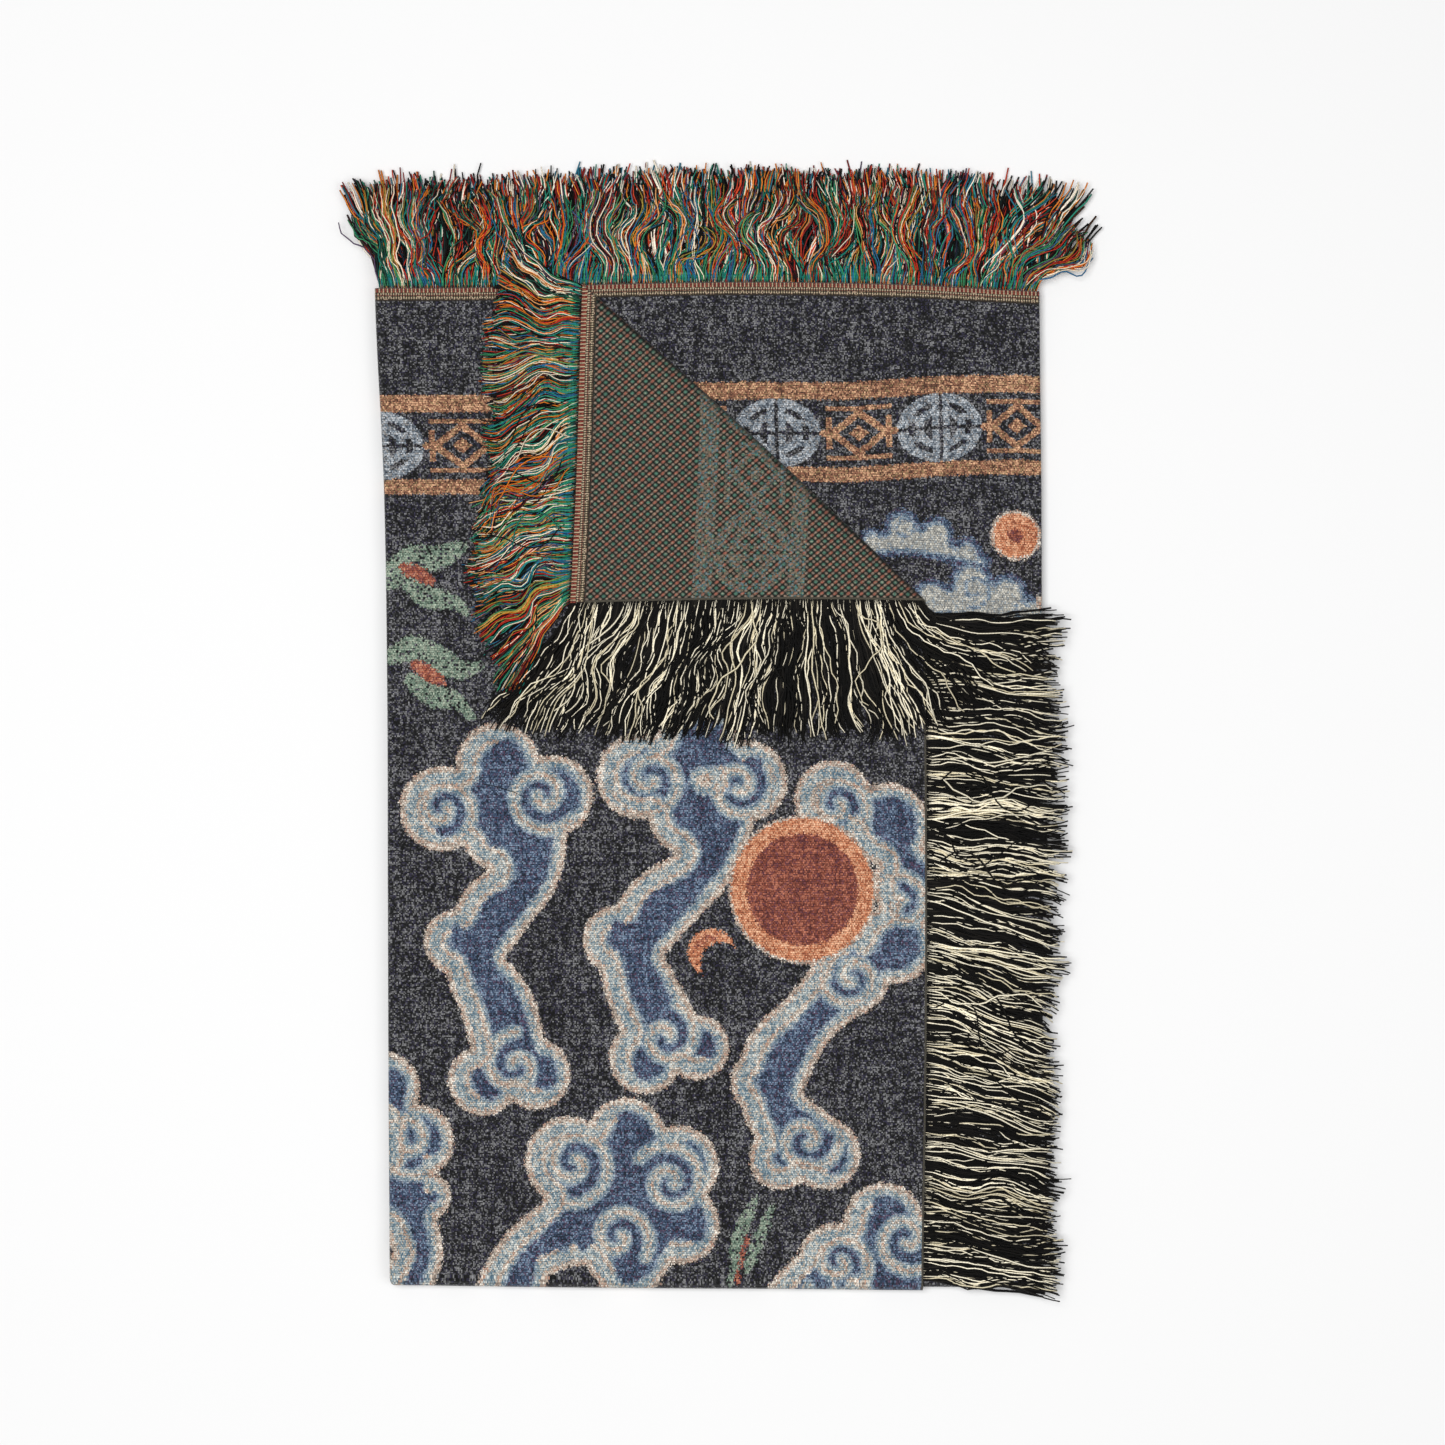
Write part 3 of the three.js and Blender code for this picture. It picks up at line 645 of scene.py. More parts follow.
def cloth_material():
    material, shader, start = new_material("woven_tapestry")
    flat = start.node("ShaderNodeUVMap", {"uv_map": "flat"})
    u, v, _ = (part * (1 / MM) for part in parts_of(start, "ShaderNodeSeparateXYZ", flat))
    back = attribute(start, "back")

    # Fine yarn ends give the colours, and the coarser stitches that they form the knobbly face
    end_size, stitch_width, stitch_height = 1.05, 1.9, 1.7
    chance = chances(start, u / end_size, v / end_size)
    row = (v / stitch_height).whole()
    stitch_u, stitch_v = u / stitch_width + row * 0.5, v / stitch_height
    stitch = chances(start, stitch_u, stitch_v)
    knob_u, knob_v = stitch_u.part() - 0.5, stitch_v.part() - 0.5
    knob = 1 - (knob_u * knob_u + knob_v * knob_v) * 3.2
    mottle = cloudy(start, u, v, 3.4)
    slub_along = cloudy(start, u, v * 5, 26.0)
    slub_down = cloudy(start, u * 5, v, 30.0)
    patches = cloudy(start, u, v, 45.0)

    wander = (chance[0] - 0.5) * 2.4 + (stitch[0] - 0.5) * 1.2 + mottle * 2.6
    shapes = {
        name: attribute(start, name) + wander
        for name in ("cloud", "sun", "leaf", "bud", "moon")
    }
    # Some stitches of the ground show through the leaves
    shapes["leaf"] = shapes["leaf"] + (stitch[0] < 0.16) * CLEAR_OF_DESIGN
    curl = attribute(start, "curl") + wander * 0.45
    double = attribute(start, "double")
    wisp = attribute(start, "wisp") > 0.5

    # The border runs along both ends of the cloth, a little aslant
    mirrored_v = v.least(CLOTH_LENGTH - v)
    border_v = mirrored_v - SELVEDGE_WIDTH + attribute(start, "rise")
    border_edge = border_v + wander * 0.7
    outer_rail = abs(border_edge - OUTER_RAIL) < OUTER_RAIL_HALF
    rails = outer_rail.most(abs(border_edge - INNER_RAIL) < INNER_RAIL_HALF)
    roundel, link = border_motifs(attribute(start, "repeat"), border_v, wander * 0.3)
    field = border_edge > BORDER_END

    # Depths below a cloud's outline and around its curls
    outline_width, curl_half_width = 4.7, 1.7
    inner = -outline_width - shapes["cloud"]
    from_curl = curl - curl_half_width
    inside = field * (inner > 0)
    second_line = abs(inner - 9.6) < 1.5
    past_band = inner - (double * 9.0 + 4.0)
    masks = (
        (field * (shapes["cloud"] < 0), "cream"),
        (inside, "pale_blue"),
        (inside * (past_band > 0) * (from_curl > 2.6), "mid_blue"),
        (inside * (past_band > 2.2) * (from_curl > 4.4), "navy"),
        (inside * second_line * (double > 0.5) * (from_curl > 0), "cream"),
        (field * (inner > -1.0) * (from_curl < 0), "cream"),
        (wisp * field * (shapes["cloud"] < 0), "navy"),
        (wisp * field * (shapes["cloud"] < -3.6), "mid_blue"),
        (wisp * field * (shapes["cloud"] < -6.0), "wisp"),
        (wisp * inside * (from_curl < 0), "mid_blue"),
        *((field * (shapes[name] < -depth), dyes) for name, depth, dyes in (
            ("sun", -2.2, "cream"), ("sun", 0, "sun_orange"), ("sun", 11.5, "sun_red"),
            ("leaf", 0, "leaf"), ("bud", 0, "bud"),
            ("moon", 0, "sun_orange"), ("moon", 4.0, "bud"),
        )),
        (rails, "border_tan"),
        (link, "border_tan"),
        (roundel, "medallion"),
    )
    yarns = DYES["ground"]
    for mask, name in masks:
        yarns = [mask.blend(old, dye) for old, dye in zip(yarns, DYES[name])]
    main, light, dark, stray = yarns

    tone = chance[1] * 0.9 + stitch[1] * 0.2 + mottle * 0.5 + slub_along * 0.55 + slub_down * 0.65
    tone = tone + patches * 0.3
    face = tone.ramp(0.55, 1.05).blend(main, light)
    face = tone.ramp(0.52, 0.14).blend(face, dark)
    face = ((chance[2] > 0.84) * 0.75).blend(face, stray)
    # Painted shade and light on each stitch: darker where its bump dips towards the gaps between
    # stitches, a little lighter on its top; the stitch's own chance adds random tone.
    face = face.shade(knob.ramp(-0.3, 0.95, 0.62, 1.06) * (stitch[2] * 0.26 + 0.88))

    light_trace = union(rails, roundel, link, field * (shapes["cloud"] < 0) * (inner < 0))
    reverse, floats = back_of_weave(start, u, v, chance, light_trace, inside)
    reverse = reverse.shade(chance[2] * 0.5 + 0.75)
    # Painted shade along the crease: the back is darker towards the turned corner's crease, and
    # darkest in a thin line where it bends under.
    past = attribute(start, "past_crease")
    reverse = reverse.shade(past.ramp(3.6, 5.8, 0.25, 0.8) * past.ramp(4.5, 14.0, 0.8, 1.0))

    colour = back.blend(face, reverse)
    colour = (mirrored_v < SELVEDGE_WIDTH).blend(colour, selvedge_band(u, mirrored_v, chance))
    side_edge = u.least(CLOTH_WIDTH - u) < 1.5
    colour = (side_edge * (mirrored_v > SELVEDGE_WIDTH)).blend(colour, "4a463c")

    height = knob * (1 - back) + floats * back
    finish(shader, colour, height, (0.75, 0.0006), roughness=0.92, specular=0.25, sheen=0.12)
    return material


def finish(shader, colour, height, bump, roughness, specular, sheen):
    """Joins colour and height to the shader. The bump is its strength and its depth in metres."""
    inputs = {"Strength": bump[0], "Distance": bump[1], "Height": height}
    bumps = height.node("ShaderNodeBump", inputs=inputs)
    links = shader.id_data.links
    links.new(colour.socket, shader.inputs["Base Color"])
    links.new(bumps.socket, shader.inputs["Normal"])
    shader.inputs["Roughness"].default_value = roughness
    shader.inputs["Specular IOR Level"].default_value = specular
    shader.inputs["Sheen Weight"].default_value = sheen
    shader.inputs["Sheen Roughness"].default_value = 0.5


def yarn_material(name):
    material, shader, start = new_material(name)
    dyed = attribute(start, "dye", output=0)
    toward_tip = attribute(start, "dye", output=3)
    flat = start.node("ShaderNodeUVMap", {"uv_map": "flat"})
    around, down, _ = parts_of(start, "ShaderNodeSeparateXYZ", flat)
    groove = abs((down * 420.0 + around).part() - 0.5).ramp(0.0, 0.22)
    fuzz = start.node("ShaderNodeTexNoise", inputs={"Scale": 900.0, "Detail": 2.0})
    # Painted shade in the twist: the yarn is darker in the grooves that its bump sinks; the fuzz
    # adds random tone, and the colour is a little darker towards the tip.
    tone = groove * 0.16 + (fuzz - 0.5) * 0.35 + toward_tip.ramp(0.75, 1.0, 0.86, 0.8)
    finish(
        shader, dyed.shade(tone), groove + fuzz, (0.5, 0.0003), roughness=0.82, specular=0.16,
        sheen=0.03,
    )
    return material


# ---- Meshes


def make_object(name, points, faces, corner_uv, material):
    """A smooth mesh from points in millimetres, in the part's frame."""
    faces = np.asarray(faces)
    sides = faces.shape[1]
    mesh = bpy.data.meshes.new(name)
    mesh.vertices.add(len(points))
    mesh.vertices.foreach_set("co", (points * MM).astype(np.float32).ravel())
    mesh.loops.add(faces.size)
    mesh.loops.foreach_set("vertex_index", faces.astype(np.int32).ravel())
    mesh.polygons.add(len(faces))
    mesh.polygons.foreach_set("loop_start", np.arange(0, faces.size, sides, dtype=np.int32))
    mesh.update(calc_edges=True)
    mesh.validate()
    mesh.polygons.foreach_set("use_smooth", np.ones(len(mesh.polygons), dtype=bool))
    layer = mesh.uv_layers.new(name="flat")
    layer.data.foreach_set("uv", corner_uv.astype(np.float32).ravel())
    mesh.materials.append(material)
    return add_object(name, mesh)


def store(mesh, name, values):
    values = np.asarray(values, dtype=np.float32)
    if values.ndim == 1:
        mesh.attributes.new(name, "FLOAT", "POINT").data.foreach_set("value", values)
    else:
        mesh.attributes.new(name, "FLOAT_COLOR", "POINT").data.foreach_set("color", values.ravel())


def spread(start, end, count):
    return list(np.linspace(start, end, count, endpoint=False))


CORNER_CELLS = 74  # cells along each side of the turned corner
BEND_LINES = 8  # lines across the crease's bend


def fine_lines():
    """The grid lines on the flat cloth, close where the face shows and wide where it hides.
    Each line is a place and whether the back has it too."""
    def lines(*stretches):
        places, on_back = [], []
        for start, end, count, every in stretches:
            places += spread(start, end, count)
            on_back += [i % every == 0 for i in range(count)]
        return places, on_back

    right_edge = RIGHT_FOLD_END + RIGHT_FOLD_X - CREASE_TOP_X + 10
    u_lines, u_back = lines(
        (0, CREASE_TOP_U, CORNER_CELLS, 1),
        (CREASE_TOP_U, LEFT_FOLD_START, 44, 5),
        (LEFT_FOLD_START, LEFT_FOLD_END, 10, 2),
        (LEFT_FOLD_END, LEFT_FOLD_END + 40, 4, 1),
        (LEFT_FOLD_END + 40, RIGHT_FOLD_START - 40, 18, 2),
        (RIGHT_FOLD_START - 40, RIGHT_FOLD_START, 4, 1),
        (RIGHT_FOLD_START, RIGHT_FOLD_END, 9, 3),
        (RIGHT_FOLD_END, right_edge, 84, 6),
        (right_edge, CLOTH_WIDTH, 2, 1),
    )
    v_lines, v_back = lines(
        (0, CREASE_SIDE_V, CORNER_CELLS, 1),
        (CREASE_SIDE_V, HALF_FOLD_START - 40, 138, 6),
        (HALF_FOLD_START - 40, HALF_FOLD_START, 14, 2),
        (HALF_FOLD_START, HALF_FOLD_END, 14, 2),
        (HALF_FOLD_END, HALF_FOLD_END + 60, 8, 2),
        (HALF_FOLD_END + 60, CLOTH_LENGTH, 36, 4),
    )
    return (u_lines + [CLOTH_WIDTH], u_back + [True]), (v_lines + [CLOTH_LENGTH], v_back + [True])


def flat_grid(u_lines, v_lines):
    """The grid's places on the flat cloth. In the corner its slanted lines lie along the
    crease, close together where the cloth bends."""
    u, v = (array.copy() for array in np.meshgrid(u_lines, v_lines, indexing="ij"))
    bend = math.pi * CREASE_RADIUS
    line = np.arange(CORNER_CELLS + 1)
    depth = np.where(
        line <= BEND_LINES,
        bend * line / BEND_LINES,
        bend + (CORNER_DEPTH - bend) * (line - BEND_LINES) / (CORNER_CELLS - BEND_LINES),
    )
    left = 1 - depth / CORNER_DEPTH
    for i in range(CORNER_CELLS + 1):
        for j in range(CORNER_CELLS + 1 - i):
            k = i + j
            if k:
                u[i, j] = CREASE_TOP_U * left[CORNER_CELLS - k] * i / k
                v[i, j] = CREASE_SIDE_V * left[CORNER_CELLS - k] * j / k
    return u, v


def grid_triangles(index):
    a, b = index[:-1, :-1].ravel(), index[1:, :-1].ravel()
    c, d = index[:-1, 1:].ravel(), index[1:, 1:].ravel()
    return np.concatenate([np.stack([a, b, c], axis=-1), np.stack([b, d, c], axis=-1)])


def rim_triangles(front, back, on_back_u, on_back_v):
    """The cloth's cut edge, between the fine lines of the face and the wide ones of the back."""
    last_u, last_v = front.shape[0] - 1, front.shape[1] - 1
    chain = [(i, 0) for i in range(last_u)]
    chain += [(last_u, j) for j in range(last_v)]
    chain += [(i, last_v) for i in range(last_u, 0, -1)]
    chain += [(0, j) for j in range(last_v, 0, -1)]
    chain.append(chain[0])
    rank_u = np.cumsum(on_back_u) - 1
    rank_v = np.cumsum(on_back_v) - 1
    triangles = []
    start_back = back[0, 0]
    for (i, j), (next_i, next_j) in zip(chain, chain[1:]):
        here, there = front[i, j], front[next_i, next_j]
        triangles.append((there, here, start_back))
        if on_back_u[next_i] and on_back_v[next_j]:
            end_back = back[rank_u[next_i], rank_v[next_j]]
            triangles.append((there, start_back, end_back))
            start_back = end_back
    return np.array(triangles)


def make_cloth(material):
    (u_lines, u_back), (v_lines, v_back) = fine_lines()
    u, v = flat_grid(u_lines, v_lines)
    face_index = np.arange(u.size).reshape(u.shape)
    picked = np.ix_(np.flatnonzero(u_back), np.flatnonzero(v_back))
    back_u, back_v = u[picked], v[picked]
    back_index = u.size + np.arange(back_u.size).reshape(back_u.shape)
    faces = np.concatenate([
        grid_triangles(face_index),
        grid_triangles(back_index)[:, ::-1],
        rim_triangles(face_index, back_index, u_back, v_back),
    ])
    all_u = np.concatenate([u.ravel(), back_u.ravel()])
    all_v = np.concatenate([v.ravel(), back_v.ravel()])
    is_back = np.arange(len(all_u)) >= u.size
    side = np.where(is_back, -HALF_THICKNESS, HALF_THICKNESS)[:, None]
    in_from_edge = 0.02
    inner_u = np.clip(all_u, in_from_edge, CLOTH_WIDTH - in_from_edge)
    inner_v = np.clip(all_v, in_from_edge, CLOTH_LENGTH - in_from_edge)
    points = cloth_points(all_u, all_v) + side * cloth_frame(inner_u, inner_v)[2]
    corner_uv = np.stack([all_u, all_v], axis=-1)[faces.ravel()] * MM
    cloth = make_object("tapestry_cloth", uneven(points), faces, corner_uv, material)
    marks = {
        **woven_design(all_u, all_v),
        "back": is_back,
        "repeat": border_repeat(all_u),
        "rise": border_rise(all_u),
        "past_crease": past_crease(all_u, all_v),
    }
    for name, values in marks.items():
        store(cloth.data, name, values)
    return cloth


# ---- Fringe

COLOUR_DYES = {
    "1a8476": 12, "3c9060": 10, "e07c22": 11, "c03020": 12, "f4e4ca": 9, "2a6c96": 8,
    "0a0808": 28, "a08c3c": 5, "5c1418": 8, "5c4a66": 4, "e8a868": 3, "1c4e40": 6,
}
DEEP_DYES = {
    "0a0807": 32, "8a1e1e": 12, "2a7890": 10, "cc4428": 12, "2a8c74": 10, "54445c": 5,
    "e4862e": 10, "fff4e0": 16, "1e5444": 5,
}
CREAM_DYES = {"fff6dc": 25, "e0d5b6": 7, "060504": 51, "14110e": 17}
UNDER_DYES = {"0a0807": 55, "2c0f0f": 14, "0e2422": 16, "3a220f": 8, "141e2c": 7}
BLACK_DYES = {"060505": 5, "12100e": 4, "221f1b": 2}

COLOUR_FRINGE_LENGTH = 92.0
CREAM_FRINGE_LENGTH = 103.0
STRIP_GAP = 0.3
TIP_PITCH = 1.5  # between the tips of the fringes that lie on each other
CLEAR = 2 * CREASE_RADIUS + 2  # the room that a fringe leaves at the crease
FLAP_HEIGHT = MIDDLE_HEIGHT + TOP_PANEL_LEVEL + 2 * CREASE_RADIUS
FLAP_FRINGE_TIP = FLAP_HEIGHT - 0.6
HIGHEST_YARN = 26.0

# The bed of thick dark yarns under the fine ones
BED_RADIUS = 1.15
BED_STEPS = 11
BED_LENGTH = 0.9  # of the fine yarns' length
ABOVE_BED = 1.2


def cloth_edge(start, end, fixed, along_u):
    """A stretch of an edge of the cloth, where u or v is fixed. It gives, for shares of the
    stretch, the places, the way out and the way along; and the stretch's length."""
    def at(share):
        running = start + (end - start) * share
        still = np.full(running.shape, float(fixed))
        u, v = (running, still) if along_u else (still, running)
        grow_u, grow_v, _ = cloth_frame(u, v)
        run, out = (grow_u, grow_v) if along_u else (grow_v, grow_u)
        return cloth_points(u, v), out * (1 if fixed else -1), run * np.sign(end - start)

    return at, abs(end - start)


def pick_dyes(rng, count, dyes, alike):
    """A dye for each of a row of yarns: some neighbours are dyed alike, and no dye is
    missing for long, because each bunch steps on through the dyes by the golden section."""
    golden = 0.618
    bunch = np.cumsum(rng.uniform(0, 1, count) > alike)
    shares = np.cumsum(list(dyes.values())) / sum(dyes.values())
    turns = np.arange(bunch[-1] + 1) * golden + rng.uniform(0, 0.35, bunch[-1] + 1)
    picked = np.searchsorted(shares[:-1], turns % 1)[bunch]
    colours = np.array([paint(name) for name in dyes])[picked]
    colours[:, :3] *= rng.uniform(0.8, 1.15, count)[:, None]
    return colours


def strand_tubes(paths, radius):
    """Three-sided tubes around paths of points, thinner at the tip, as points and faces."""
    count, steps = paths.shape[:2]
    tangent = unit(np.gradient(paths, axis=1))
    side = unit(np.cross(tangent, [0.0, 0.0, 1.0]))
    rise = np.cross(side, tangent)
    width = radius[:, None] * (1 - 0.25 * np.linspace(0, 1, steps) ** 5)
    rings = []
    for turn in (1 / 4, 7 / 12, 11 / 12):
        out = side * math.cos(TAU * turn) + rise * math.sin(TAU * turn)
        rings.append(paths + out * width[..., None])
    index = np.arange(count * steps * 3).reshape(count, steps, 3)
    faces = []
    for k in range(3):
        after = (k + 1) % 3
        a, b = index[:, :-1, k], index[:, :-1, after]
        c, d = index[:, 1:, after], index[:, 1:, k]
        faces += [np.stack([a, b, c], axis=-1), np.stack([a, c, d], axis=-1)]
    faces += [index[:, :1, ::-1], index[:, -1:]]
    return np.stack(rings, axis=2).reshape(-1, 3), np.concatenate([f.reshape(-1, 3) for f in faces])


# How the yarns of a fringe fall, where its row says nothing else
USUAL = {
    # Along the edge: how they lean, and their share of the full length
    "leans": (0, 0), "reaches": (1, 1),
    # How much they sway, over what widths and lengths, and how much each bends and turns alone
    "flow": 0.42, "across": (26, 130), "down": (28, 90), "kinks": 0.5, "skew": 0.08,
    # The locks: the shortest one's share, their pile, width, gathering and thickness
    "short": 0.9, "pile": 4.0, "lock_width": 7.0, "gather": 0.5, "bundle": 1.0,
    # Shares of yarns that stray and that are dyed like their neighbour
    "strays": 0.008, "alike": 0.06,
    # Each yarn's points and radius, how far light ones reach and lie above dark ones, the
    # number of yarns in the bed, and whether the fringe lies on the floor
    "steps": 16, "radius": 0.6, "light_reach": 1.0, "light_lift": 0.3, "under": 0,
    "on_floor": False,
}


def sway_field(rng, across, down):
    """A smooth random number, mostly from -1 to 1, for each place along and out from an edge."""
    count = 12
    turns_across = TAU / rng.uniform(*across, count) * rng.choice([-1, 1], count)
    turns_down = TAU / rng.uniform(*down, count)
    starts = rng.uniform(0, TAU, count)

    def at(along_edge, out):
        waves = zip(turns_across, turns_down, starts)
        return 0.4 * sum(np.sin(a * along_edge + b * out + start) for a, b, start in waves)

    return at


def lay_yarns(rng, edge, count, habit, sway, length, tip, dyes, under):
    """Yarn ends along a stretch of an edge, gathered in curved locks that lie on each other.
    The ones under the others are thicker and fall straighter."""
    at, stretch = edge
    steps = BED_STEPS if under else habit.steps
    radius = BED_RADIUS if under else habit.radius
    locks = max(2, round(stretch / habit.lock_width))
    place = (np.arange(count) + rng.uniform(0.1, 0.9, count)) / count
    root, out, run = at(place)
    out[:, 2] = 0
    run[:, 2] = 0
    out, run = unit(out), unit(run)
    dye = pick_dyes(rng, count, dyes, habit.alike)

    # What each lock does, and which lock a yarn goes with
    lock = np.clip((place * locks + rng.normal(0, 0.25, count)).astype(int), 0, locks - 1)
    centre = ((lock + 0.5) / locks * stretch)[:, None]
    aside = place * stretch - centre[:, 0]
    lock_reach = rng.uniform(habit.short, 1.0, locks)[lock]
    lock_level = (rng.permutation(locks) / locks)[lock][:, None]
    lock_twist = rng.normal(0, 1.6, locks)[lock][:, None]
    lock_gather = rng.uniform(habit.gather - 0.25, habit.gather + 0.25, locks)[lock][:, None]
    lock_flare = rng.uniform(-0.2, 0.6, locks)[lock][:, None]
    if under:
        lock_level = lock_level * 0.25
        lock_gather = 1.0

    # The way a yarn heads along its length, and so its path
    share = np.linspace(0, 1, steps)[None, :]
    reach = length * along(habit.reaches, place) * lock_reach * rng.normal(1, 0.025, count)
    reach = reach * np.where(dye[:, 1] > 0.3, habit.light_reach, 1.0)
    far = reach[:, None] * share
    grown = smoothstep(far / 16)
    swing = 0.85 * sway(centre, far) + 0.4 * sway(centre * 9.7 + 400, far)
    kink_wave = rng.uniform(11, 27, count)[:, None]
    kink = rng.uniform(0.02, habit.kinks, count)[:, None]
    kink = kink * np.sin(TAU * far / kink_wave + rng.uniform(0, TAU, count)[:, None])
    lean = np.arctan(along(habit.leans, place))[:, None] * (0.35 + 0.65 * smoothstep(far / 30))
    own = rng.normal(0, habit.skew, count)[:, None]
    can_stray = (place > 0.12) & (place < 0.68) & (not under)
    stray = ((rng.uniform(0, 1, count) < habit.strays) & can_stray)[:, None]
    loop = rng.uniform(0.5, 1.2, count) * rng.choice([-1, 1], count)
    loop = loop[:, None] * np.sin(TAU * far / (0.9 * length) + rng.uniform(0, 1.5, count)[:, None])
    flow = habit.flow * (0.4 if under else 1.0)
    heading = lean + own + (kink + np.where(stray, loop, swing * flow)) * grown
    middle = (heading[:, 1:] + heading[:, :-1]) / 2
    stride = reach[:, None] / (steps - 1)
    start = np.zeros((count, 1))
    outward = np.concatenate([start, np.cumsum(np.cos(middle) * stride, axis=1)], axis=1)
    sideways = np.concatenate([start, np.cumsum(np.sin(middle) * stride, axis=1)], axis=1)

    # Its place within the lock, which gathers and twists
    held = 1 - (1 - lock_gather) * smoothstep(share * 1.8)
    held = held + lock_flare * smoothstep(share * 2.5 - 1.5)
    inside = rng.uniform(-habit.bundle, habit.bundle, count)[:, None] * smoothstep(far / 12)
    angle = lock_twist * share
    offset = aside[:, None] * held
    sideways = sideways - aside[:, None] + offset * np.cos(angle) - inside * np.sin(angle)
    lift = 0.35 * offset * np.sin(angle) + inside * np.cos(angle)

    # Its height: it settles from the edge to its tip, over the locks below it
    settled = smoothstep(far / length)
    height = root[:, 2:3] * (1 - settled) + tip * settled
    above_bed = ABOVE_BED if habit.under and not under else 0.0
    lift = lift + (habit.pile * lock_level + above_bed) * smoothstep(far / 16)
    lift = lift + np.where(stray, 2.0 + habit.pile * (1 - lock_level), 0.0) * smoothstep(far / 25)
    on_top = np.where(dye[:, 1] > dye[:, 0], 0.9, -0.5)[:, None] * (not under)
    lift = lift + on_top * np.exp(-far / 14) * smoothstep(far / 3)
    lift = lift + habit.light_lift * (dye[:, 1:2] > 0.5) * smoothstep(far / 10)
    height = np.clip(height + lift, radius + 0.05, HIGHEST_YARN)
    if habit.on_floor:
        height = np.minimum(height, 2.2 * radius + settled * 2)

    paths = root[:, None, :] + out[:, None, :] * (outward + STRIP_GAP)[..., None]
    paths = paths + run[:, None, :] * sideways[..., None]
    paths[..., 2] = height
    points, faces = strand_tubes(uneven(paths), radius * rng.uniform(0.8, 1.2, count))
    around = np.tile(np.array([0.0, 1 / 3, 2 / 3]), count * steps)
    down = np.repeat(far.ravel(), 3) * MM
    colours = np.repeat(dye, steps * 3, axis=0)
    colours[:, 3] = np.repeat(np.tile(share[0], count), 3)
    return points, faces, np.stack([around, down], axis=-1), colours


def make_fringe(name, edge, yarns, tip, dyes, under_dyes, material, length, seed, **rest):
    """A fringe of fine yarns, most often over a bed of thick dark ones."""
    rng = np.random.default_rng(seed)
    habit = SimpleNamespace(**{**USUAL, **rest})
    sway = sway_field(rng, habit.across, habit.down)
    laid = [lay_yarns(rng, edge, yarns, habit, sway, length, tip, dyes, False)]
    if habit.under:
        bed = length * BED_LENGTH
        laid.append(lay_yarns(rng, edge, habit.under, habit, sway, bed, tip, under_dyes, True))
    points, faces, places, colours = (list(each) for each in zip(*laid))
    if habit.under:
        faces[1] = faces[1] + len(points[0])
    faces = np.concatenate(faces)
    corner_uv = np.concatenate(places)[faces.ravel()]
    fringe = make_object(name, np.concatenate(points), faces, corner_uv, material)
    store(fringe.data, "dye", np.concatenate(colours))
    return fringe


def tip_height(rank):
    return 0.5 + rank * TIP_PITCH


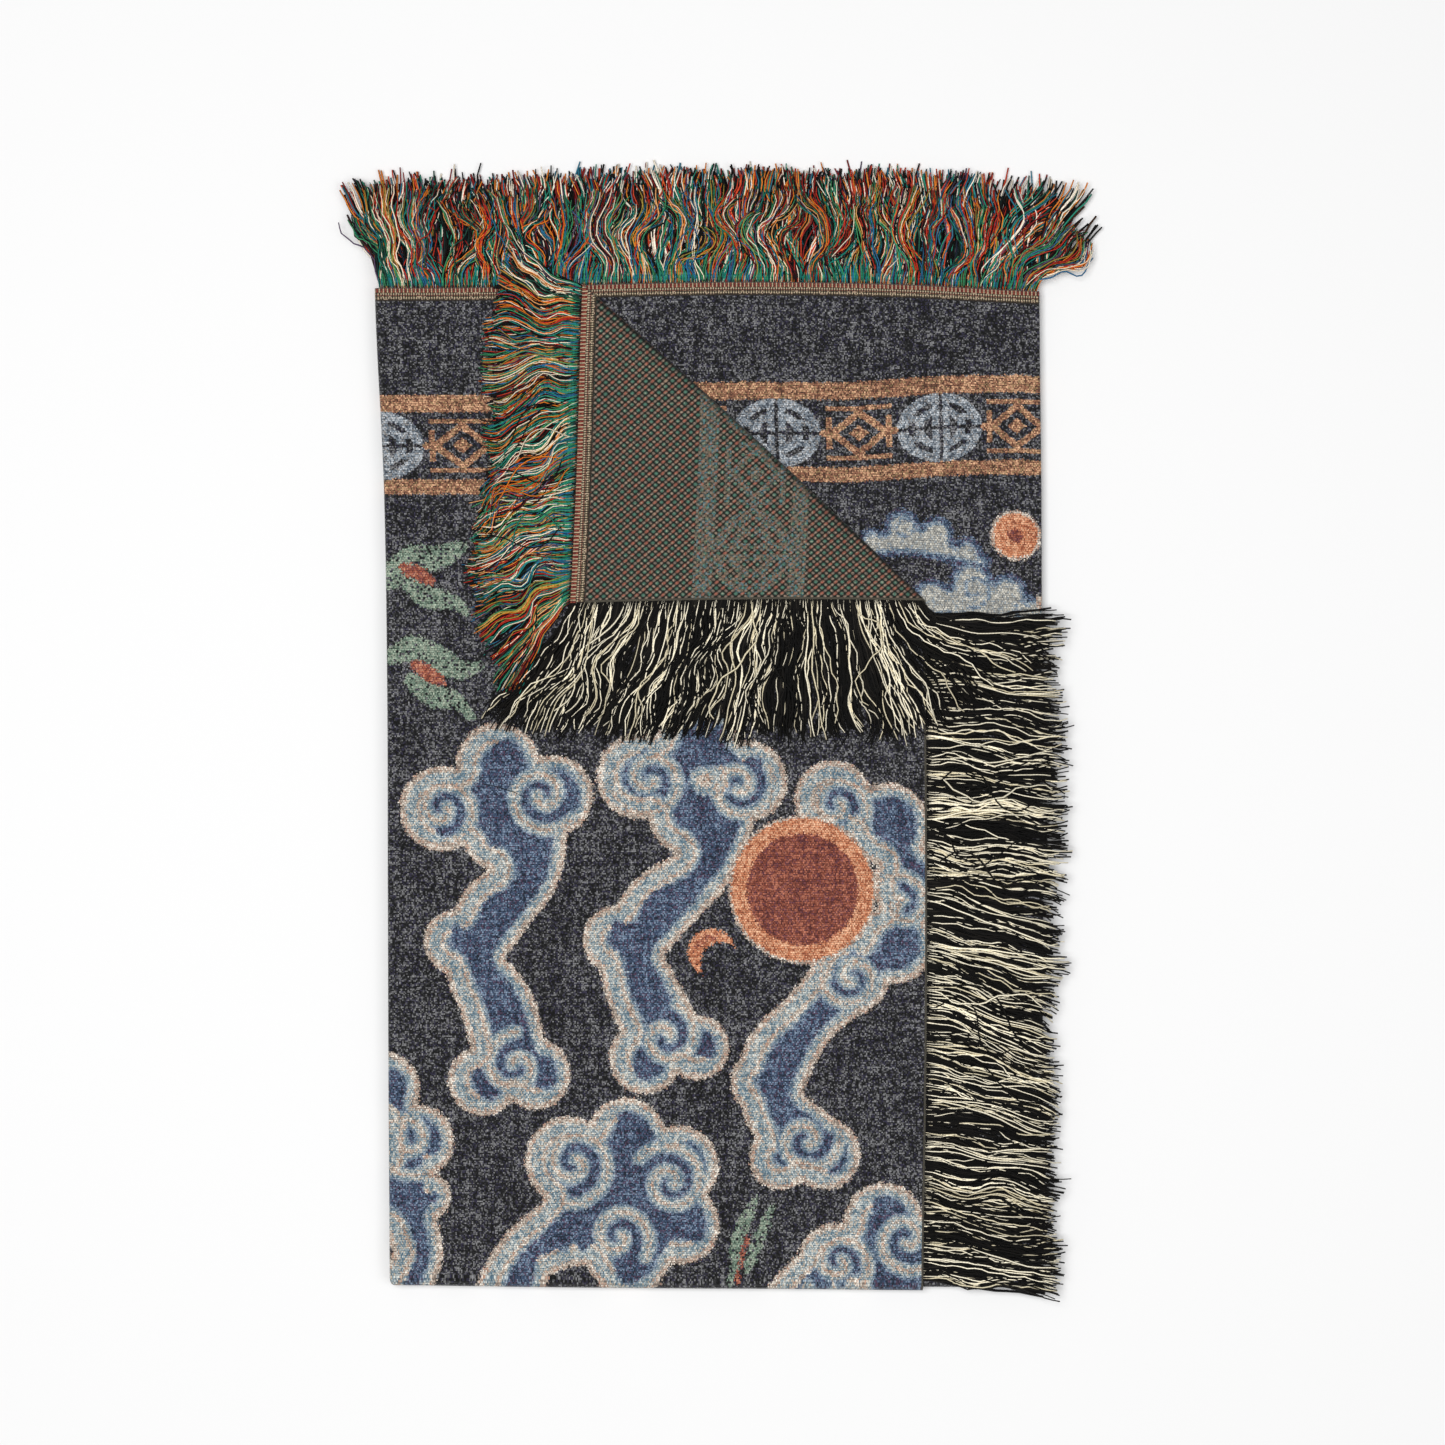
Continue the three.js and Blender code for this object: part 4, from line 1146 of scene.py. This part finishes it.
def make_fringes(colour_yarn, cream_yarn):
    """One row for each fringe: its name; the start and end of its edge, with the u or v that is
    fixed there; its yarns, the height of their tips, their dyes and its own habit."""
    plain = {"flow": 0.25, "steps": 11, "radius": 0.9, "strays": 0}
    colour_rows = (
        ("colour_fringe_upper_left", (LEFT_FOLD_START, CREASE_TOP_U + CLEAR, 0),
         800, tip_height(5), COLOUR_DYES,
         {"leans": (-0.35, -0.1, 0, 0, 0), "pile": 5.0, "length": 82.0, "under": 110,
          "short": 0.76, "gather": 0.36, "bundle": 1.6, "kinks": 0.6}),
        ("colour_fringe_upper_base", (LEFT_FOLD_END, RIGHT_FOLD_START, 0),
         1000, tip_height(3), DEEP_DYES,
         {"leans": (-0.4, 0, 0, 0, 0, 0, 0, 0.6), "pile": 3.5, "length": 89.0, "steps": 12,
          "flow": 0.35, "gather": 0.35, "under": 250, "radius": 0.85, "lock_width": 8.0,
          "short": 0.92}),
        ("colour_fringe_upper_right", (CLOTH_WIDTH, RIGHT_FOLD_END, 0),
         1800, tip_height(4), COLOUR_DYES,
         {"leans": (0, 0, 0, 0, 0, 0, 0.05, 0.25, 1.35), "pile": 6.0, "length": 82.0,
          "under": 240, "short": 0.74, "gather": 0.36, "bundle": 1.6, "kinks": 0.6}),
        ("colour_fringe_lower_left", (LEFT_FOLD_START, 0, CLOTH_LENGTH),
         230, tip_height(0), DEEP_DYES, {**plain, "on_floor": True}),
        ("colour_fringe_lower_base", (LEFT_FOLD_END, RIGHT_FOLD_START, CLOTH_LENGTH),
         280, tip_height(2), DEEP_DYES, {**plain, "leans": (-0.2, 0, 0, 0, 0.3), "pile": 1.5}),
        ("colour_fringe_lower_right", (CLOTH_WIDTH, RIGHT_FOLD_END, CLOTH_LENGTH),
         200, tip_height(1), DEEP_DYES, {**plain, "leans": (0, 0, 0, 0.25), "pile": 1.2}),
        ("colour_fringe_corner", (0, CREASE_TOP_U - CLEAR, 0),
         1450, FLAP_FRINGE_TIP, COLOUR_DYES,
         {"leans": (-2.6, -0.6, -0.42, -0.35, -0.45, -0.5, -0.6, -0.55, -0.5, -0.35, -0.1, 0.1,
                    0.3, 0.9),
          "reaches": (0.86, 0.9, 0.89, 0.9, 0.88, 0.85, 0.83, 0.8, 0.78, 0.76),
          "length": 96.0, "under": 320, "strays": 0.004, "kinks": 0.4, "across": (50, 200),
          "down": (26, 70), "gather": 0.75, "skew": 0.06, "light_lift": 0.5}),
    )
    cream = {"flow": 0.3, "across": (20, 90), "down": (34, 100), "lock_width": 9.0,
             "gather": 0.7, "kinks": 0.6, "alike": 0.15, "radius": 0.75, "strays": 0.012,
             "short": 0.9, "steps": 19, "light_reach": 0.98, "light_lift": 0.2, "skew": 0.08}
    inside = {**cream, "flow": 0.15, "pile": 0.3, "bundle": 0.4, "steps": 7, "radius": 1.0,
              "strays": 0}  # between the layers, where nothing shows it
    cream_rows = (
        ("cream_fringe_corner", (CREASE_SIDE_V - CLEAR, 0, 0),
         560, FLAP_FRINGE_TIP, CREAM_DYES,
         {**cream, "leans": (-6, -0.9, -0.4, -0.1, 0.1, 0.25, 0.3, 0.35, 0.4, 0.45, 0.85),
          "pile": 3.5, "length": 113.0, "under": 420, "flow": 0.26, "seed": 52}),
        ("cream_fringe_upper_side", (CREASE_SIDE_V + CLEAR, HALF_FOLD_START, 0),
         950, MIDDLE_HEIGHT + TOP_PANEL_LEVEL - 1.4, CREAM_DYES,
         {**cream, "leans": (0, 0.12, 0.08, 0.1, 0.25, 0.38, 0.3, 0.15, 0.2, 0.05), "pile": 3.0,
          "length": 109.0, "under": 600, "flow": 0.2, "kinks": 0.5, "light_lift": 0.3}),
        ("cream_fringe_lower_side", (CLOTH_LENGTH, HALF_FOLD_END, 0),
         330, tip_height(0), CREAM_DYES,
         {**cream, "on_floor": True, "length": 80.0, "steps": 11, "radius": 0.95, "strays": 0}),
        ("cream_fringe_upper_inside", (HALF_FOLD_START, 0, CLOTH_WIDTH),
         120, MIDDLE_HEIGHT + RIGHT_PANEL_LEVEL - 0.7, CREAM_DYES, inside),
        ("cream_fringe_lower_inside", (HALF_FOLD_END, CLOTH_LENGTH, CLOTH_WIDTH),
         120, MIDDLE_HEIGHT - RIGHT_PANEL_LEVEL - 0.5, CREAM_DYES, inside),
    )
    fringes = []
    for rows, material, length, slot, under_dyes in (
        (colour_rows, colour_yarn, COLOUR_FRINGE_LENGTH, "colour_yarn", UNDER_DYES),
        (cream_rows, cream_yarn, CREAM_FRINGE_LENGTH, "cream_yarn", BLACK_DYES),
    ):
        for name, stretch, yarns, tip, dyes, rest in rows:
            edge = cloth_edge(*stretch, along_u=rows is colour_rows)
            rest = {"length": length, "seed": len(fringes) + 11, **rest}
            piece = make_fringe(
                "yarn_" + name, edge, yarns, tip, dyes, under_dyes, material, **rest
            )
            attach(piece, "root")
            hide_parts(name)
            fringes.append(piece)
    return fringes


# ---- The scene


PHOTO_SCALE = 0.762  # millimetres for each pixel of the photograph
PHOTO_SIDE = 1445
# Where the photograph has the left fold and the bottom one
LEFT_FOLD_PIXEL, BOTTOM_FOLD_PIXEL = 385, 1290


def make_camera():
    """Looks straight down from where the photograph was taken."""
    distance, sensor = 3.2, 36.0
    data = bpy.data.cameras.new("camera")
    data.sensor_width = sensor
    data.lens = sensor * distance / (PHOTO_SIDE * PHOTO_SCALE * MM)
    camera = add_object("camera", data)
    centre_x = (PHOTO_SIDE / 2 - LEFT_FOLD_PIXEL) * PHOTO_SCALE - ORIGIN[0]
    centre_y = (BOTTOM_FOLD_PIXEL - PHOTO_SIDE / 2) * PHOTO_SCALE - ORIGIN[1]
    camera.location = (centre_x * MM, centre_y * MM, distance + MIDDLE_HEIGHT * 2 * MM)
    bpy.context.scene.camera = camera


def make_floor():
    half = 3.0
    mesh = bpy.data.meshes.new("floor")
    mesh.from_pydata(
        [(-half, -half, 0), (half, -half, 0), (half, half, 0), (-half, half, 0)], [], [(0, 1, 2, 3)]
    )
    floor = add_object("floor", mesh)
    floor.location.z = -0.0002
    material, shader, _ = new_material("white_studio_floor")
    shader.inputs["Base Color"].default_value = (0.8, 0.8, 0.8, 1)
    shader.inputs["Roughness"].default_value = 0.9
    shader.inputs["Specular IOR Level"].default_value = 0.0
    mesh.materials.append(material)


def make_light(name, place, aim, size, power):
    data = bpy.data.lights.new(name, "AREA")
    data.size = size
    data.energy = power
    lamp = add_object(name, data)
    lamp.location = place
    direction = np.array(aim) - np.array(place)
    flat = math.hypot(direction[0], direction[1])
    lamp.rotation_euler = (
        math.atan2(flat, -direction[2]), 0, math.atan2(direction[1], direction[0]) - math.pi / 2
    )


def make_studio():
    make_light("overhead_softbox", (-0.8, 0.1, 4.3), (0, 0, 0), 2.2, 172)
    make_light("fill_softbox", (1.5, -0.6, 3.6), (0, 0, 0), 2.2, 40)
    world = bpy.data.worlds.new("studio")
    world.use_nodes = True
    background = world.node_tree.nodes["Background"]
    background.inputs[0].default_value = (1, 1, 1, 1)
    background.inputs[1].default_value = 0.2
    bpy.context.scene.world = world
    bpy.context.scene.view_settings.view_transform = "Standard"


make_camera()
make_floor()
make_studio()
cloth = make_cloth(cloth_material())
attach(cloth, "root")
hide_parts("woven_cloth")
fringes = make_fringes(yarn_material("colour_yarn_ends"), yarn_material("cream_yarn_ends"))
